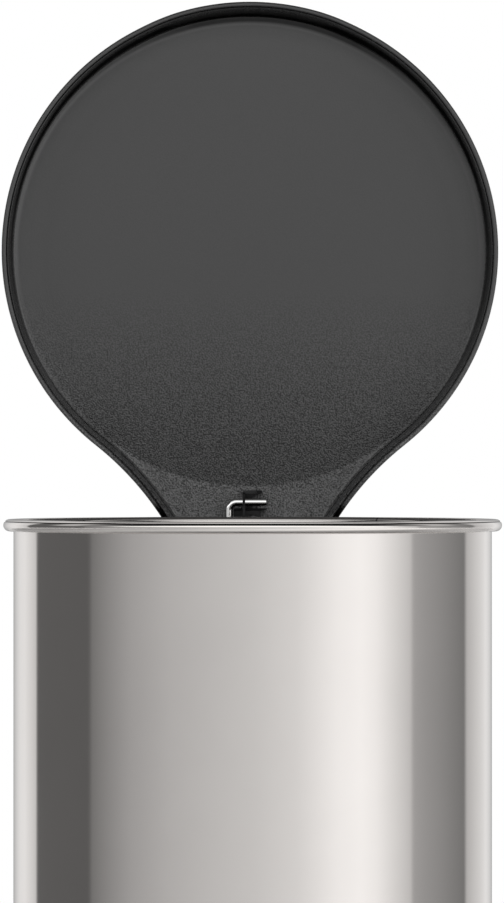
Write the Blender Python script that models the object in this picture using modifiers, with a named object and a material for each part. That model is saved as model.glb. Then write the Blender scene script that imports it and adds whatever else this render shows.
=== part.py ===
"""Round pedal bin with a keyhole-shaped hinged lid, shown with the lid held open.

Metres, +Z up, front toward -Y. The rest pose is the open lid with the pedal
pressed down. Driving dimensions are in millimetres below and are turned into
metres by MM.
"""
import math

import bmesh
import bpy
from mathutils import Matrix, Vector

MM = 0.001

# ---- driving dimensions, mm -------------------------------------------------
Z_RIM = 640.0            # top of the rolled rim above the floor
R_BODY = 143.9           # outer radius of the steel body
T_BODY = 0.8             # wall thickness of the steel body
R_BEAD = 146.4           # centre radius of the rolled rim
T_BEAD = 3.6             # tube radius of the rolled rim
Z_BODY0 = 38.0           # lower edge of the steel body

LID_R = 158.25           # radius of the round part of the lid
LID_PSI = math.radians(38.4)   # where the round part runs into the neck
LID_RC = 193.05          # radius of the hollow neck sides
FINGER = 0.5             # how far the front edge stands out as a finger lip
LID_V_END = 184.4        # end of the neck, from the lid centre
LID_V_AXIS = 175.4       # hinge axis, from the lid centre
W_SKIRT = -22.0          # lower edge of the closed lid, from the rim top
W_PANEL = 4.5            # underside of the liner panel, closed
R_CREASE = 150.5         # where the flat disc of the liner meets the neck facet
FACET = 0.11             # slope of the neck facet
DOME = 5.0               # rise of the lid top toward its centre

H_Y = 175.3              # hinge axis behind the body axis
H_Z = -6.0               # hinge axis, from the rim top
LID_OPEN = math.radians(-90.0)

ROD_R = 2.5              # lift rod
P_OPEN = (170.3, 9.0)    # rod pivot with the lid open: y, z from the rim top
ROD_X = -13.5            # plane in which the rod hangs
ROD_IN_Y = 137.0         # rod where it has passed through the wall
FOOT_Y, FOOT_Z = 127.0, 34.0   # rod foot with the pedal pressed

BRK_X = 40.0             # half width of the hinge bracket
CHEEK = 8.0              # cheek thickness of the hinge bracket
PIN_R = 2.0              # hinge pins
GAP = 0.3                # clearance between touching pieces

PIV_Y, PIV_Z = -25.0, 20.0     # pedal pivot
LEVER_X = 12.0           # half width of the pedal lever
LEVER_T = 4.0            # thickness of the pedal lever
TIP_Y = -197.0           # front edge of the tread

RING_R, RING_IN = 146.0, 139.5
RING_Z0, RING_Z1 = 4.0, 44.0

# ---- clean start ------------------------------------------------------------
for _o in list(bpy.data.objects):
    bpy.data.objects.remove(_o, do_unlink=True)

PARTS = bpy.data.collections.new("pedal_bin")
CUTTERS = bpy.data.collections.new("pedal_bin_cutters")
bpy.context.scene.collection.children.link(PARTS)
bpy.context.scene.collection.children.link(CUTTERS)
CUTTERS.hide_render = True


# ---- helpers ----------------------------------------------------------------
def material(name, color, rough, metal=0.0):
    m = bpy.data.materials.new(name)
    m.use_nodes = True
    b = m.node_tree.nodes["Principled BSDF"]
    b.inputs["Base Color"].default_value = (*color, 1.0)
    b.inputs["Roughness"].default_value = rough
    b.inputs["Metallic"].default_value = metal
    m.diffuse_color = (*color, 1.0)
    return m


def empty(name, loc, rot=(0, 0, 0), parent=None):
    e = bpy.data.objects.new(name, None)
    e.empty_display_size = 0.03
    e.location = [c * MM for c in loc]
    e.rotation_euler = rot
    e.parent = parent
    PARTS.objects.link(e)
    return e


def link(name, me, mat=None, parent=None, loc=(0, 0, 0), cutter=False, smooth=False):
    o = bpy.data.objects.new(name, me)
    o.location = [c * MM for c in loc]
    o.parent = parent
    if cutter:
        o.hide_render = True
        o.display_type = 'WIRE'
        CUTTERS.objects.link(o)
    else:
        PARTS.objects.link(o)
    if mat is not None and not me.materials:
        me.materials.append(mat)
    if smooth:
        me.shade_smooth()
        me.set_sharp_from_angle(angle=math.radians(35))
    return o


def clean(me, dist=1e-6):
    bm = bmesh.new()
    bm.from_mesh(me)
    bmesh.ops.remove_doubles(bm, verts=bm.verts, dist=dist)
    bmesh.ops.recalc_face_normals(bm, faces=bm.faces)
    bm.to_mesh(me)
    bm.free()
    return me


def baked(o):
    """Mesh of an object with its modifiers, in the object's own space."""
    dg = bpy.context.evaluated_depsgraph_get()
    me = bpy.data.meshes.new_from_object(o.evaluated_get(dg))
    bpy.data.objects.remove(o, do_unlink=True)
    return me


def lathe(name, profile, steps, closed=True):
    """Screw of a profile of (radius, height) points, in mm, about Z."""
    me = bpy.data.meshes.new(name)
    verts = [(r * MM, 0.0, z * MM) for r, z in profile]
    edges = [(i, i + 1) for i in range(len(verts) - 1)]
    if closed:
        edges.append((len(verts) - 1, 0))
    me.from_pydata(verts, edges, [])
    o = bpy.data.objects.new(name, me)
    PARTS.objects.link(o)
    s = o.modifiers.new("turn", 'SCREW')
    s.axis = 'Z'
    s.angle = math.tau
    s.steps = s.render_steps = steps
    s.use_merge_vertices = True
    s.merge_threshold = 1e-5
    out = clean(baked(o))
    out.name = name
    return out


def prism(name, pts, plane, a0, a1):
    """2-D outline, filled and extruded. plane is 'XY', 'YZ' or 'XZ'."""
    cu = bpy.data.curves.new(name, 'CURVE')
    cu.dimensions = '2D'
    cu.fill_mode = 'BOTH'
    cu.extrude = abs(a1 - a0) / 2 * MM
    sp = cu.splines.new('POLY')
    sp.points.add(len(pts) - 1)
    for p, (a, b) in zip(sp.points, pts):
        p.co = (a * MM, b * MM, 0.0, 1.0)
    sp.use_cyclic_u = True
    o = bpy.data.objects.new(name, cu)
    PARTS.objects.link(o)
    mid = (a0 + a1) / 2 * MM
    if plane == 'YZ':
        m = Matrix(((0, 0, 1, mid), (1, 0, 0, 0), (0, 1, 0, 0), (0, 0, 0, 1)))
    elif plane == 'XZ':
        m = Matrix(((1, 0, 0, 0), (0, 0, -1, mid), (0, 1, 0, 0), (0, 0, 0, 1)))
    else:
        m = Matrix.Translation((0, 0, mid))
    me = baked(o)
    me.transform(m)
    bm = bmesh.new()
    bm.from_mesh(me)
    bmesh.ops.remove_doubles(bm, verts=bm.verts, dist=1e-6)
    bmesh.ops.dissolve_limit(bm, angle_limit=math.radians(0.5),
                             verts=bm.verts, edges=bm.edges)
    bmesh.ops.recalc_face_normals(bm, faces=bm.faces)
    bm.to_mesh(me)
    bm.free()
    me.name = name
    return me


def box_me(name, x0, x1, y0, y1, z0, z1):
    bm = bmesh.new()
    bmesh.ops.create_cube(bm, size=1.0)
    bmesh.ops.scale(bm, vec=((x1 - x0) * MM, (y1 - y0) * MM, (z1 - z0) * MM), verts=bm.verts)
    bmesh.ops.translate(bm, vec=((x0 + x1) / 2 * MM, (y0 + y1) / 2 * MM, (z0 + z1) / 2 * MM),
                        verts=bm.verts)
    me = bpy.data.meshes.new(name)
    bm.to_mesh(me)
    bm.free()
    return me


def rod_me(name, r, start, end, n=20):
    """Cylinder between two points."""
    a, b = Vector(start) * MM, Vector(end) * MM
    d = b - a
    bm = bmesh.new()
    bmesh.ops.create_cone(bm, cap_ends=True, segments=n, radius1=r * MM, radius2=r * MM,
                          depth=d.length)
    rot = d.to_track_quat('Z', 'Y').to_matrix().to_4x4()
    bmesh.ops.transform(bm, matrix=Matrix.Translation((a + b) / 2) @ rot, verts=bm.verts)
    me = bpy.data.meshes.new(name)
    bm.to_mesh(me)
    bm.free()
    return me


def fillet(points, radii, segs=6):
    """Polyline with rounded corners."""
    pts = [Vector(p) for p in points]
    out = [pts[0]]
    for i in range(1, len(pts) - 1):
        a, b, c = pts[i - 1], pts[i], pts[i + 1]
        u, v = (a - b).normalized(), (c - b).normalized()
        ang = u.angle(v)
        t = radii[i - 1] / math.tan(ang / 2)
        centre = b + (u + v).normalized() * (radii[i - 1] / math.sin(ang / 2))
        s, e = b + u * t - centre, b + v * t - centre
        tot = s.angle(e)
        axis = s.cross(e).normalized()
        for k in range(segs + 1):
            out.append(centre + Matrix.Rotation(tot * k / segs, 3, axis) @ s)
    out.append(pts[-1])
    return out


def boolean(o, others, op='DIFFERENCE'):
    for c in others:
        m = o.modifiers.new(op.lower(), 'BOOLEAN')
        m.operation = op
        m.solver = 'EXACT'
        m.object = c


def bevel(o, width, segs=2, angle=35):
    b = o.modifiers.new("edge", 'BEVEL')
    b.width = width * MM
    b.segments = segs
    b.limit_method = 'ANGLE'
    b.angle_limit = math.radians(angle)
    b.use_clamp_overlap = True
    return b


def cutter(name, me, parent=None):
    return link(name, me, parent=parent, cutter=True)


def round_rect(w, h, r, n=5, cx=0.0, cy=0.0):
    pts = []
    for sx, sy, a0 in ((1, 1, 0), (-1, 1, 90), (-1, -1, 180), (1, -1, 270)):
        for k in range(n + 1):
            a = math.radians(a0 + 90 * k / n)
            pts.append((cx + sx * (w / 2 - r) + r * math.cos(a), cy + sy * (h / 2 - r) + r * math.sin(a)))
    return pts


def sector(r0, r1, half_deg, n=14):
    """Outline of a curved plate centred on the back of the body."""
    pts = []
    for k in range(n + 1):
        a = math.radians(90 + half_deg - 2 * half_deg * k / n)
        pts.append((r1 * math.cos(a), r1 * math.sin(a)))
    for k in range(n + 1):
        a = math.radians(90 - half_deg + 2 * half_deg * k / n)
        pts.append((r0 * math.cos(a), r0 * math.sin(a)))
    return pts


# ---- materials --------------------------------------------------------------
M = {
    "steel_body": material("steel_body", (0.60, 0.58, 0.56), 0.16, 1.0),
    "lid_cover": material("lid_cover", (0.58, 0.57, 0.55), 0.22, 1.0),
    "lid_liner": material("lid_liner", (0.066, 0.066, 0.067), 0.50),
    "lift_rod": material("lift_rod", (0.72, 0.72, 0.72), 0.10, 1.0),
    "rod_clip": material("rod_clip", (0.012, 0.012, 0.013), 0.42),
    "base_ring": material("base_ring", (0.014, 0.014, 0.015), 0.46),
    "base_plate": material("base_plate", (0.018, 0.018, 0.019), 0.55),
    "foot": material("foot", (0.020, 0.020, 0.020), 0.80),
    "pedal_lever": material("pedal_lever", (0.50, 0.50, 0.51), 0.34, 1.0),
    "pedal_tread": material("pedal_tread", (0.60, 0.58, 0.56), 0.20, 1.0),
    "pedal_pad": material("pedal_pad", (0.018, 0.018, 0.018), 0.72),
    "pivot_pin": material("pivot_pin", (0.62, 0.62, 0.63), 0.24, 1.0),
    "pivot_bracket": material("pivot_bracket", (0.46, 0.46, 0.47), 0.38, 1.0),
    "screw": material("screw", (0.55, 0.55, 0.56), 0.28, 1.0),
    "clip_screw": material("clip_screw", (0.03, 0.03, 0.03), 0.35, 1.0),
    "hinge_bracket": material("hinge_bracket", (0.013, 0.013, 0.014), 0.44),
    "hinge_backing_plate": material("hinge_backing_plate", (0.48, 0.48, 0.49), 0.36, 1.0),
    "hinge_pin": material("hinge_pin", (0.64, 0.64, 0.65), 0.20, 1.0),
    "bucket_support_ring": material("bucket_support_ring", (0.015, 0.015, 0.016), 0.50),
    "inner_bucket": material("inner_bucket", (0.045, 0.045, 0.046), 0.48),
    "rod_guide": material("rod_guide", (0.016, 0.016, 0.017), 0.50),
}

# ---- joint frames -----------------------------------------------------------
lid_axis = empty("lid_axis", (0, H_Y, Z_RIM + H_Z), (LID_OPEN, 0, 0))
rod_axis = empty("rod_axis", (0, -(P_OPEN[1] - H_Z), P_OPEN[0] - H_Y), (-LID_OPEN, 0, 0), lid_axis)
pedal_axis = empty("pedal_axis", (0, PIV_Y, PIV_Z))

# ---- steel body -------------------------------------------------------------
zc = Z_RIM - T_BEAD
a_in = math.degrees(math.acos((R_BODY - T_BODY - R_BEAD) / T_BEAD))
a_out = math.degrees(math.acos((R_BODY - R_BEAD) / T_BEAD))
prof = [(R_BODY, Z_BODY0), (R_BODY - T_BODY, Z_BODY0)]
start, stop, nb = 360 - a_in, -a_out, 16
for k in range(nb + 1):
    a = math.radians(start + (stop - start) * k / nb)
    prof.append((R_BEAD + T_BEAD * math.cos(a), zc + T_BEAD * math.sin(a)))
body = link("steel_body", lathe("steel_body", prof, 84), M["steel_body"], smooth=True)
slot = cutter("cut_body_slot", prism("cut_body_slot", [
    (ROD_X + x, z + Z_RIM - 70) for x, z in round_rect(9, 40, 4.2, 4)], 'XZ', 130, 158))
boolean(body, [slot])

# hinge screws: angle about the body axis, height from the rim top
SCREW_A = math.degrees(math.asin(50.0 / 145.7))
HINGE_SCREWS = [("left_upper", -SCREW_A, -32), ("right_upper", SCREW_A, -32),
                ("left_lower", -SCREW_A, -80), ("right_lower", SCREW_A, -80)]


def around(r, deg, z):
    a = math.radians(deg)
    return (r * math.sin(a), r * math.cos(a), z)


hinge_holes = []
for tag, deg, dz in HINGE_SCREWS:
    hinge_holes.append(cutter("cut_hinge_hole_" + tag, rod_me(
        "cut_hinge_hole_" + tag, 2.3, around(136, deg, Z_RIM + dz), around(152, deg, Z_RIM + dz), 16)))
boolean(body, hinge_holes)

# ---- base -------------------------------------------------------------------
ring_prof = [(R_BODY + GAP, RING_Z1), (R_BODY + GAP, Z_BODY0 - GAP), (RING_IN, Z_BODY0 - GAP),
             (RING_IN, 6.0), (136.0, 6.0), (136.0, RING_Z0), (RING_R - 1.5, RING_Z0),
             (RING_R, RING_Z0 + 1.5), (RING_R, RING_Z1 - 1.2), (RING_R - 0.6, RING_Z1)]
ring = link("base_ring", lathe("base_ring", ring_prof, 72), M["base_ring"], smooth=True)
boolean(ring, [cutter("cut_ring_notch", box_me("cut_ring_notch", -14.5, 14.5, -160, -120, -2, 33))])

plate = link("base_plate", lathe("base_plate", [
    (0, 6.3), (RING_IN - 0.3, 6.3), (RING_IN - 0.3, 9.3), (0, 9.3)], 56, closed=False),
    M["base_plate"])
PIV_SCREWS = [("left_front", -24, -34), ("left_rear", -24, -16),
              ("right_front", 24, -34), ("right_rear", 24, -16)]
plate_cuts = [
    cutter("cut_plate_front", box_me("cut_plate_front", -14.5, 14.5, -150, -100, 0, 20)),
    cutter("cut_plate_rear", prism("cut_plate_rear", round_rect(34, 68, 5, 4, -3, 100), 'XY', 0, 20)),
]
for tag, x, y in PIV_SCREWS:
    plate_cuts.append(cutter("cut_plate_hole_" + tag, rod_me(
        "cut_plate_hole_" + tag, 2.3, (x, y, 0), (x, y, 20), 16)))
boolean(plate, plate_cuts)

foot_me = lathe("foot", [(0, 3.7), (6.4, 3.7), (7.0, 3.2), (7.0, 0.8), (6.3, 0.0), (0, 0.0)], 20, closed=False)
for tag, sx, sy in (("front_left", -1, -1), ("front_right", 1, -1),
                    ("rear_left", -1, 1), ("rear_right", 1, 1)):
    link("foot_" + tag, foot_me, M["foot"], loc=(sx * 97.6, sy * 97.6, 0), smooth=True)

# ---- pedal ------------------------------------------------------------------
def ped(y, z):
    return (y - PIV_Y, z - PIV_Z)


bar = [(118, 29.6), (60, 26), (-25, 22), (-120, 15), (-150, 12.3), (-190, 12.3)]
low = [(y, z - LEVER_T) for y, z in reversed(bar)]
lever = link("pedal_lever", prism("pedal_lever", [ped(*p) for p in bar + low], 'YZ', -LEVER_X, LEVER_X),
             M["pedal_lever"], pedal_axis)
bevel(lever, 0.5, 1)
knuckle = cutter("join_lever_knuckle", rod_me("join_lever_knuckle", 6.5, (-11.7, 0, 0), (11.7, 0, 0), 24), pedal_axis)
ear = cutter("join_lever_ear", prism("join_lever_ear", [ped(*p) for p in (
    (96, 25.5), (117, 25.3), (131, 25.5), (133.5, 28), (133.5, 41), (131, 43.5), (116, 43.5),
    (112, 41), (100, 31.2))], 'YZ', -6.0, -3.0), pedal_axis)
boolean(lever, [knuckle, ear], 'UNION')
bore = cutter("cut_lever_bore", rod_me("cut_lever_bore", 2.8, (-20, 0, 0), (20, 0, 0), 20), pedal_axis)
eye = cutter("cut_lever_eye", prism("cut_lever_eye", [
    ped(y, z) for y, z in round_rect(11.6, 9.0, 4.0, 4, 124.9, 35.4)], 'YZ', -10, 1), pedal_axis)
TREAD_SCREWS = (("left", -7.0), ("right", 7.0))
tread_holes = [cutter("cut_tread_hole_" + t, rod_me("cut_tread_hole_" + t, 2.1,
               (x, -176 - PIV_Y, 0 - PIV_Z), (x, -176 - PIV_Y, 14.95 - PIV_Z), 16), pedal_axis)
               for t, x in TREAD_SCREWS]
boolean(lever, [bore, eye] + tread_holes)

tread = link("pedal_tread", prism("pedal_tread", round_rect(92, 42, 9, 5, 0, TIP_Y + 21 - PIV_Y), 'XY',
             12.6 - PIV_Z, 14.9 - PIV_Z), M["pedal_tread"], pedal_axis)
bevel(tread, 0.6, 2)
boolean(tread, tread_holes)

# ribbed rubber pad: comb outline in XZ, carried along Y
pad = [(41, 15.2)]
pad.append((41, 17.2))
n_rib = 11
pitch = 80.0 / n_rib
for k in range(n_rib):
    x = 40 - k * pitch
    pad += [(x, 17.2), (x - pitch * 0.18, 18.6), (x - pitch * 0.62, 18.6), (x - pitch * 0.8, 17.2)]
pad += [(-41, 17.2), (-41, 15.2)]
pad_o = link("pedal_pad", prism("pedal_pad", [(x, z - PIV_Z) for x, z in pad], 'XZ',
             TIP_Y + 4.5 - PIV_Y, TIP_Y + 37.5 - PIV_Y), M["pedal_pad"], pedal_axis)

pin = link("pedal_pivot_pin", rod_me("pedal_pivot_pin", 2.5, (-18.5, PIV_Y, PIV_Z), (18.5, PIV_Y, PIV_Z), 20),
           M["pivot_pin"], smooth=False)
bevel(pin, 0.4, 1)

for side, s in (("left", -1), ("right", 1)):
    up = prism("pivot_bracket_" + side, [(-40, 9.6), (-10, 9.6), (-12, 15), (-18.5, 25.5), (-21.5, 27.6),
               (-25, 28.4), (-28.5, 27.6), (-31.5, 25.5), (-38, 15)], 'YZ',
               *(sorted((s * 12.5, s * 15.5))))
    br = link("pivot_bracket_" + side, up, M["pivot_bracket"] if s < 0 else M["pivot_bracket"])
    xs = sorted((s * 13.0, s * 31.0))
    shoe = cutter("join_bracket_shoe_" + side, prism("join_bracket_shoe_" + side,
                  round_rect(xs[1] - xs[0], 30.4, 2.5, 3, sum(xs) / 2, PIV_Y), 'XY', 9.62, 12.2))
    boolean(br, [shoe], 'UNION')
    cuts = [cutter("cut_bracket_bore_" + side, rod_me("cut_bracket_bore_" + side, 2.8,
            (s * 10, PIV_Y, PIV_Z), (s * 20, PIV_Y, PIV_Z), 20))]
    for tag, x, y in PIV_SCREWS:
        if x * s > 0:
            cuts.append(cutter("cut_bracket_hole_" + tag, rod_me(
                "cut_bracket_hole_" + tag, 2.3, (x, y, 5), (x, y, 20), 16)))
    boolean(br, cuts)


def screw_mesh(name, head_r, head_h, shank_r, shank_l, recess=1.5):
    """Pan-head screw, head seat at z=0, shank down."""
    return lathe(name, [(0, head_h * 0.45), (recess, head_h * 0.45), (recess * 1.02, head_h),
                        (head_r * 0.72, head_h * 0.86), (head_r, head_h * 0.35), (head_r, 0),
                        (shank_r, 0), (shank_r, -shank_l + shank_r * 0.5), (shank_r * 0.5, -shank_l),
                        (0, -shank_l)], 14, closed=False)


piv_screw = screw_mesh("pivot_screw", 3.6, 2.2, 1.9, 7.4)
for tag, x, y in PIV_SCREWS:
    link("pivot_screw_" + tag, piv_screw, M["screw"], loc=(x, y, 12.5))
tread_screw = screw_mesh("tread_screw", 3.0, 1.8, 1.7, 5.0, 1.2)
for tag, x in TREAD_SCREWS:
    o = link("tread_screw_" + tag, tread_screw, M["screw"], pedal_axis, (x, -176 - PIV_Y, 8.0 - PIV_Z))
    o.rotation_euler = (math.pi, 0, 0)

# ---- lift rod ---------------------------------------------------------------
P = (0.0, P_OPEN[0], Z_RIM + P_OPEN[1])
path = fillet([(10.7, P[1], P[2]), (ROD_X, P[1], P[2]), (ROD_X, P[1], Z_RIM - 38),
               (ROD_X, ROD_IN_Y, Z_RIM - 38 - (P[1] - ROD_IN_Y)), (ROD_X, FOOT_Y, FOOT_Z), (2.0, FOOT_Y, FOOT_Z)],
              [5.0, 10.0, 10.0, 5.0], 5)
cu = bpy.data.curves.new("lift_rod", 'CURVE')
cu.dimensions = '3D'
cu.bevel_depth = ROD_R * MM
cu.bevel_resolution = 4
cu.use_fill_caps = True
cu.twist_mode = 'MINIMUM'
sp = cu.splines.new('POLY')
sp.points.add(len(path) - 1)
for q, v in zip(sp.points, path):
    q.co = (v.x * MM, (v.y - P[1]) * MM, (v.z - P[2]) * MM, 1.0)
tmp = bpy.data.objects.new("lift_rod_curve", cu)
PARTS.objects.link(tmp)
rod = link("lift_rod", clean(baked(tmp)), M["lift_rod"], rod_axis, smooth=True)


# ---- lid outline and sections ----------------------------------------------
def outline(d, n_low=9, n_high=17, n_neck=7, n_corner=3, n_end=6):
    """Keyhole outline inset by d: (x, v), v from the lid centre toward the hinge.

    The round part has a point at its widest place, between n_low steps below and n_high above.
    """
    r, rc = LID_R - d, LID_RC + d
    cx, cv = (LID_R + LID_RC) * math.sin(LID_PSI), (LID_R + LID_RC) * math.cos(LID_PSI)
    ve = LID_V_END - d

    def side(v):
        return cx - math.sqrt(rc * rc - (cv - v) ** 2)
    t_end = math.acos((cv - (ve - 4.0)) / rc)
    pts = []
    a, b, c = (side(ve - 4.0), ve - 4.0), (side(ve), ve), (side(ve) - 4.0, ve)
    for k in range(n_corner):
        u = 1 - k / n_corner
        pts.append(tuple((1 - u) ** 2 * a[i] + 2 * u * (1 - u) * b[i] + u * u * c[i] for i in (0, 1)))
    for k in range(n_neck):
        t = t_end + (LID_PSI - t_end) * k / n_neck
        pts.append((cx - rc * math.sin(t), cv - rc * math.cos(t)))
    for k in range(n_low):
        t = LID_PSI + (math.pi / 2 - LID_PSI) * k / n_low
        pts.append((r * math.sin(t), r * math.cos(t)))
    for k in range(n_high + 1):
        t = math.pi / 2 * (1 + k / n_high)
        u = min(1.0, max(0.0, (28.0 - math.degrees(math.pi - t)) / 12.0))
        q = r + FINGER * u * u * (3 - 2 * u)
        pts.append((q * math.sin(t), q * math.cos(t)))
    mirrored = [(-x, v) for x, v in reversed(pts[:-1])]
    pts += mirrored
    for k in range(1, n_end):
        pts.append((-c[0] + 2 * c[0] * k / n_end, ve))
    return pts


def lid_loft(name, rings):
    """Closed skin through rings of equal count; both ends are closed by a fan."""
    bm = bmesh.new()
    loops = [[bm.verts.new((x * MM, (v - LID_V_AXIS) * MM, (w - H_Z) * MM)) for x, v, w in ring]
             for ring in rings]
    n = len(loops[0])
    for a, b in zip(loops, loops[1:]):
        for i in range(n):
            j = (i + 1) % n
            bm.faces.new((a[i], a[j], b[j], b[i]))
    for loop in (loops[0], loops[-1]):
        mid = sum((q.co for q in loop), Vector()) / n
        mid.z = loop[0].co.z
        mid.x, mid.y = 0.0, -LID_V_AXIS * MM
        c = bm.verts.new(mid)
        for i in range(n):
            bm.faces.new((loop[i], loop[(i + 1) % n], c))
    bmesh.ops.recalc_face_normals(bm, faces=bm.faces)
    me = bpy.data.meshes.new(name)
    bm.to_mesh(me)
    bm.free()
    return me


def at(d, w, fn=None):
    return [(x, v, w + (fn(x, v) if fn else 0.0)) for x, v in outline(d)]


def scaled(ring, s, w):
    return [(x * s, v * s, w) for x, v, _ in ring]


def dome(base, s):
    return base + DOME * (1 - s * s)


outer_skin = [(9.5, 10.9), (5.5, 9.8), (2.6, 7.6), (0.9, 4.2), (0.35, 0.0)]
inner_skin = [(1.15, 0.0), (1.7, 3.9), (3.2, 6.9), (5.8, 9.0), (9.6, 10.1)]
edge_o = at(*outer_skin[0])
edge_i = at(*inner_skin[-1])
cover_rings = [scaled(edge_o, s, dome(10.9, s)) for s in (0.3, 0.6, 0.85)]
cover_rings += [at(d, w) for d, w in outer_skin]
cover_rings += [at(0.35, -18.5), at(1.15, -18.5)]      # lower edge, in the rebate of the liner's lip
cover_rings += [at(d, w) for d, w in inner_skin]
cover_rings += [scaled(edge_i, s, dome(10.1, s)) for s in (0.85, 0.6, 0.3)]
cover = link("lid_cover", lid_loft("lid_cover", cover_rings), M["lid_cover"], lid_axis, smooth=True)
y_end = LID_V_END - LID_V_AXIS
boolean(cover, [cutter("cut_cover_end", box_me("cut_cover_end", -43, 43, y_end - 14, y_end + 6, -20, 2.0 - H_Z), lid_axis)])


def facet(x, v):
    return -FACET * max(0.0, math.hypot(x, v) - R_CREASE)


T_PANEL = 2.0
skin_top = [(4.2, 3.6), (5.2, 5.7), (7.0, 6.5)]
wp = W_PANEL
skin_low = [(9.2, wp), (8.0, wp - 0.4), (7.0, wp - 1.3), (6.45, wp - 2.7), (6.25, wp - 4.5)]
edge_t = at(*skin_top[-1], facet)
edge_l = at(*skin_low[0], facet)


def crease(ring, w):
    out = []
    for x, v, _ in ring:
        r = math.hypot(x, v)
        s = min(0.985, R_CREASE / r)
        out.append((x * s, v * s, w))
    return out


liner_rings = [scaled(crease(edge_t, 0), s, 6.5) for s in (0.35, 0.7)]
liner_rings += [crease(edge_t, 6.5), edge_t]
liner_rings += [at(5.2, 5.7, facet), at(4.2, 3.6, facet)]
# rebate for the cover's edge, round outer lip, groove and sloping inner flange
liner_rings += [at(4.2, -17.2), at(1.5, -17.2), at(1.5, -18.85), at(0.3, -18.85)]
liner_rings += [at(1.35 - 1.35 * math.cos(math.radians(a)), -20.65 - 1.35 * math.sin(math.radians(a)))
                for a in (-35, 0, 35, 70, 110, 145)]
liner_rings += [at(2.85, -20.6), at(3.15, -21.3), at(6.15, -18.3)]
liner_rings += [at(d, w, facet) for d, w in reversed(skin_low)]
liner_rings += [crease(edge_l, wp)]
liner_rings += [scaled(crease(edge_l, 0), s, wp) for s in (0.7, 0.35)]
liner = link("lid_liner", lid_loft("lid_liner", liner_rings), M["lid_liner"], lid_axis, smooth=True)
boolean(liner, [cutter("cut_liner_end", box_me("cut_liner_end", -41.5, 41.5, -4.0, y_end + 6, -20, 0.4 - H_Z), lid_axis)])
bosses = []
for side, s in (("left", -1), ("right", 1)):
    pts = [(s * 40.4, -5.5), (s * 50.2, -5.5), (s * 43.7, 5.5), (s * 40.4, 5.5)]
    bosses.append(cutter("join_hinge_boss_" + side, prism("join_hinge_boss_" + side, pts, 'XY', -5.5, 8.6), lid_axis))
boolean(liner, bosses, 'UNION')
boolean(liner, [cutter("cut_liner_bore_" + side, rod_me("cut_liner_bore_" + side, PIN_R + GAP,
                (s * 36, 0, 0), (s * 46.9, 0, 0), 20), lid_axis) for side, s in (("left", -1), ("right", 1))])

# ---- rod clip, in the frame of the open lid --------------------------------
def lid_pt(y, z):
    """World y, z (from the rim top) of the open lid to the lid's own y, z."""
    return (H_Z - z, y - H_Y)


def panel_y(z):
    """Face of the liner's neck in the open lid, world y, at height z from the rim top."""
    v = LID_V_AXIS + H_Z - z
    return H_Y - H_Z + W_PANEL - FACET * max(0.0, v - R_CREASE)


def clip_yz(name, pts, x0, x1):
    return prism(name, [lid_pt(y, z) for y, z in pts], 'YZ', x0, x1)


def clip_xz(name, pts, y0, y1):
    """Outline in x and height, carried in depth, in the frame of the open lid."""
    me = prism(name, pts, 'XZ', y0, y1)
    me.transform(Matrix.Translation((0, -H_Y * MM, -H_Z * MM)))
    me.transform(Matrix.Rotation(math.radians(90), 4, 'X'))
    return me


web = [(164.6, 13.5), (166.6, 15.5), (panel_y(15.5) - GAP, 15.5), (panel_y(-5) - GAP, -5.0),
       (166.6, -5.0), (164.6, -3.0)]
clip = link("rod_clip", clip_yz("rod_clip", web, -4.7, -3.1), M["rod_clip"], lid_axis)
back = [(panel_y(14.0) - 2.6, 14.0), (panel_y(14.0) - GAP - 0.05, 14.0), (panel_y(-4.8) - GAP - 0.05, -4.8),
        (panel_y(-4.8) - 2.6, -4.8)]
seat = [(174.2, 4.3), (panel_y(4.3) - GAP - 0.1, 4.3), (panel_y(-4.6) - GAP - 0.1, -4.6),
        (175.4, -4.6), (174.2, -3.4)]
shelf = [(173.2, 5.2), (panel_y(5.2) - GAP - 0.15, 5.2), (panel_y(4.2) - GAP - 0.15, 4.2), (173.2, 4.2)]
flag = [(-4.3, 16.7), (7.8, 16.7), (8.2, 15.6), (7.6, 14.6), (6.1, 14.2), (2.2, 12.6), (-4.3, 12.6)]
gusset = [(-4.0, 14.6), (4.4, 14.6), (2.1, 12.6), (1.9, 11.9), (-4.0, 11.9)]
tooth = [(4.2, 16.4), (7.6, 16.4), (8.0, 15.7), (7.3, 14.7), (5.4, 14.5), (4.5, 15.2)]
boolean(clip, [
    cutter("join_clip_back", clip_yz("join_clip_back", back, -4.4, 1.6), lid_axis),
    cutter("join_clip_seat", clip_yz("join_clip_seat", seat, -10.3, 6.9), lid_axis),
    cutter("join_clip_shelf", clip_yz("join_clip_shelf", shelf, -10.4, 10.4), lid_axis),
    cutter("join_clip_flag", clip_xz("join_clip_flag", flag, 178.4, 183.8), lid_axis),
    cutter("join_clip_gusset", clip_xz("join_clip_gusset", gusset, 172.6, 182.6), lid_axis),
    cutter("join_clip_tooth", clip_xz("join_clip_tooth", tooth, 173.4, 180.0), lid_axis),
], 'UNION')
py, pz = lid_pt(*P_OPEN)
boolean(clip, [
    cutter("cut_clip_bore", rod_me("cut_clip_bore", ROD_R + GAP, (-16, py, pz), (14, py, pz), 24), lid_axis),
    cutter("cut_clip_screw", rod_me("cut_clip_screw", 1.9, (2.0, *lid_pt(166, -1.6)), (2.0, *lid_pt(190, -1.6)), 16), lid_axis),
])
cs = screw_mesh("rod_clip_screw", 2.8, 1.6, 1.6, 9.4, 1.1)
o = link("rod_clip_screw", cs, M["clip_screw"], lid_axis, (2.0, *lid_pt(173.9, -1.6)))
o.rotation_euler = (math.pi, 0, 0)

# ---- hinge bracket, backing plate and pins ---------------------------------
def rim(y, z):
    return (y, z + Z_RIM)


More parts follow.
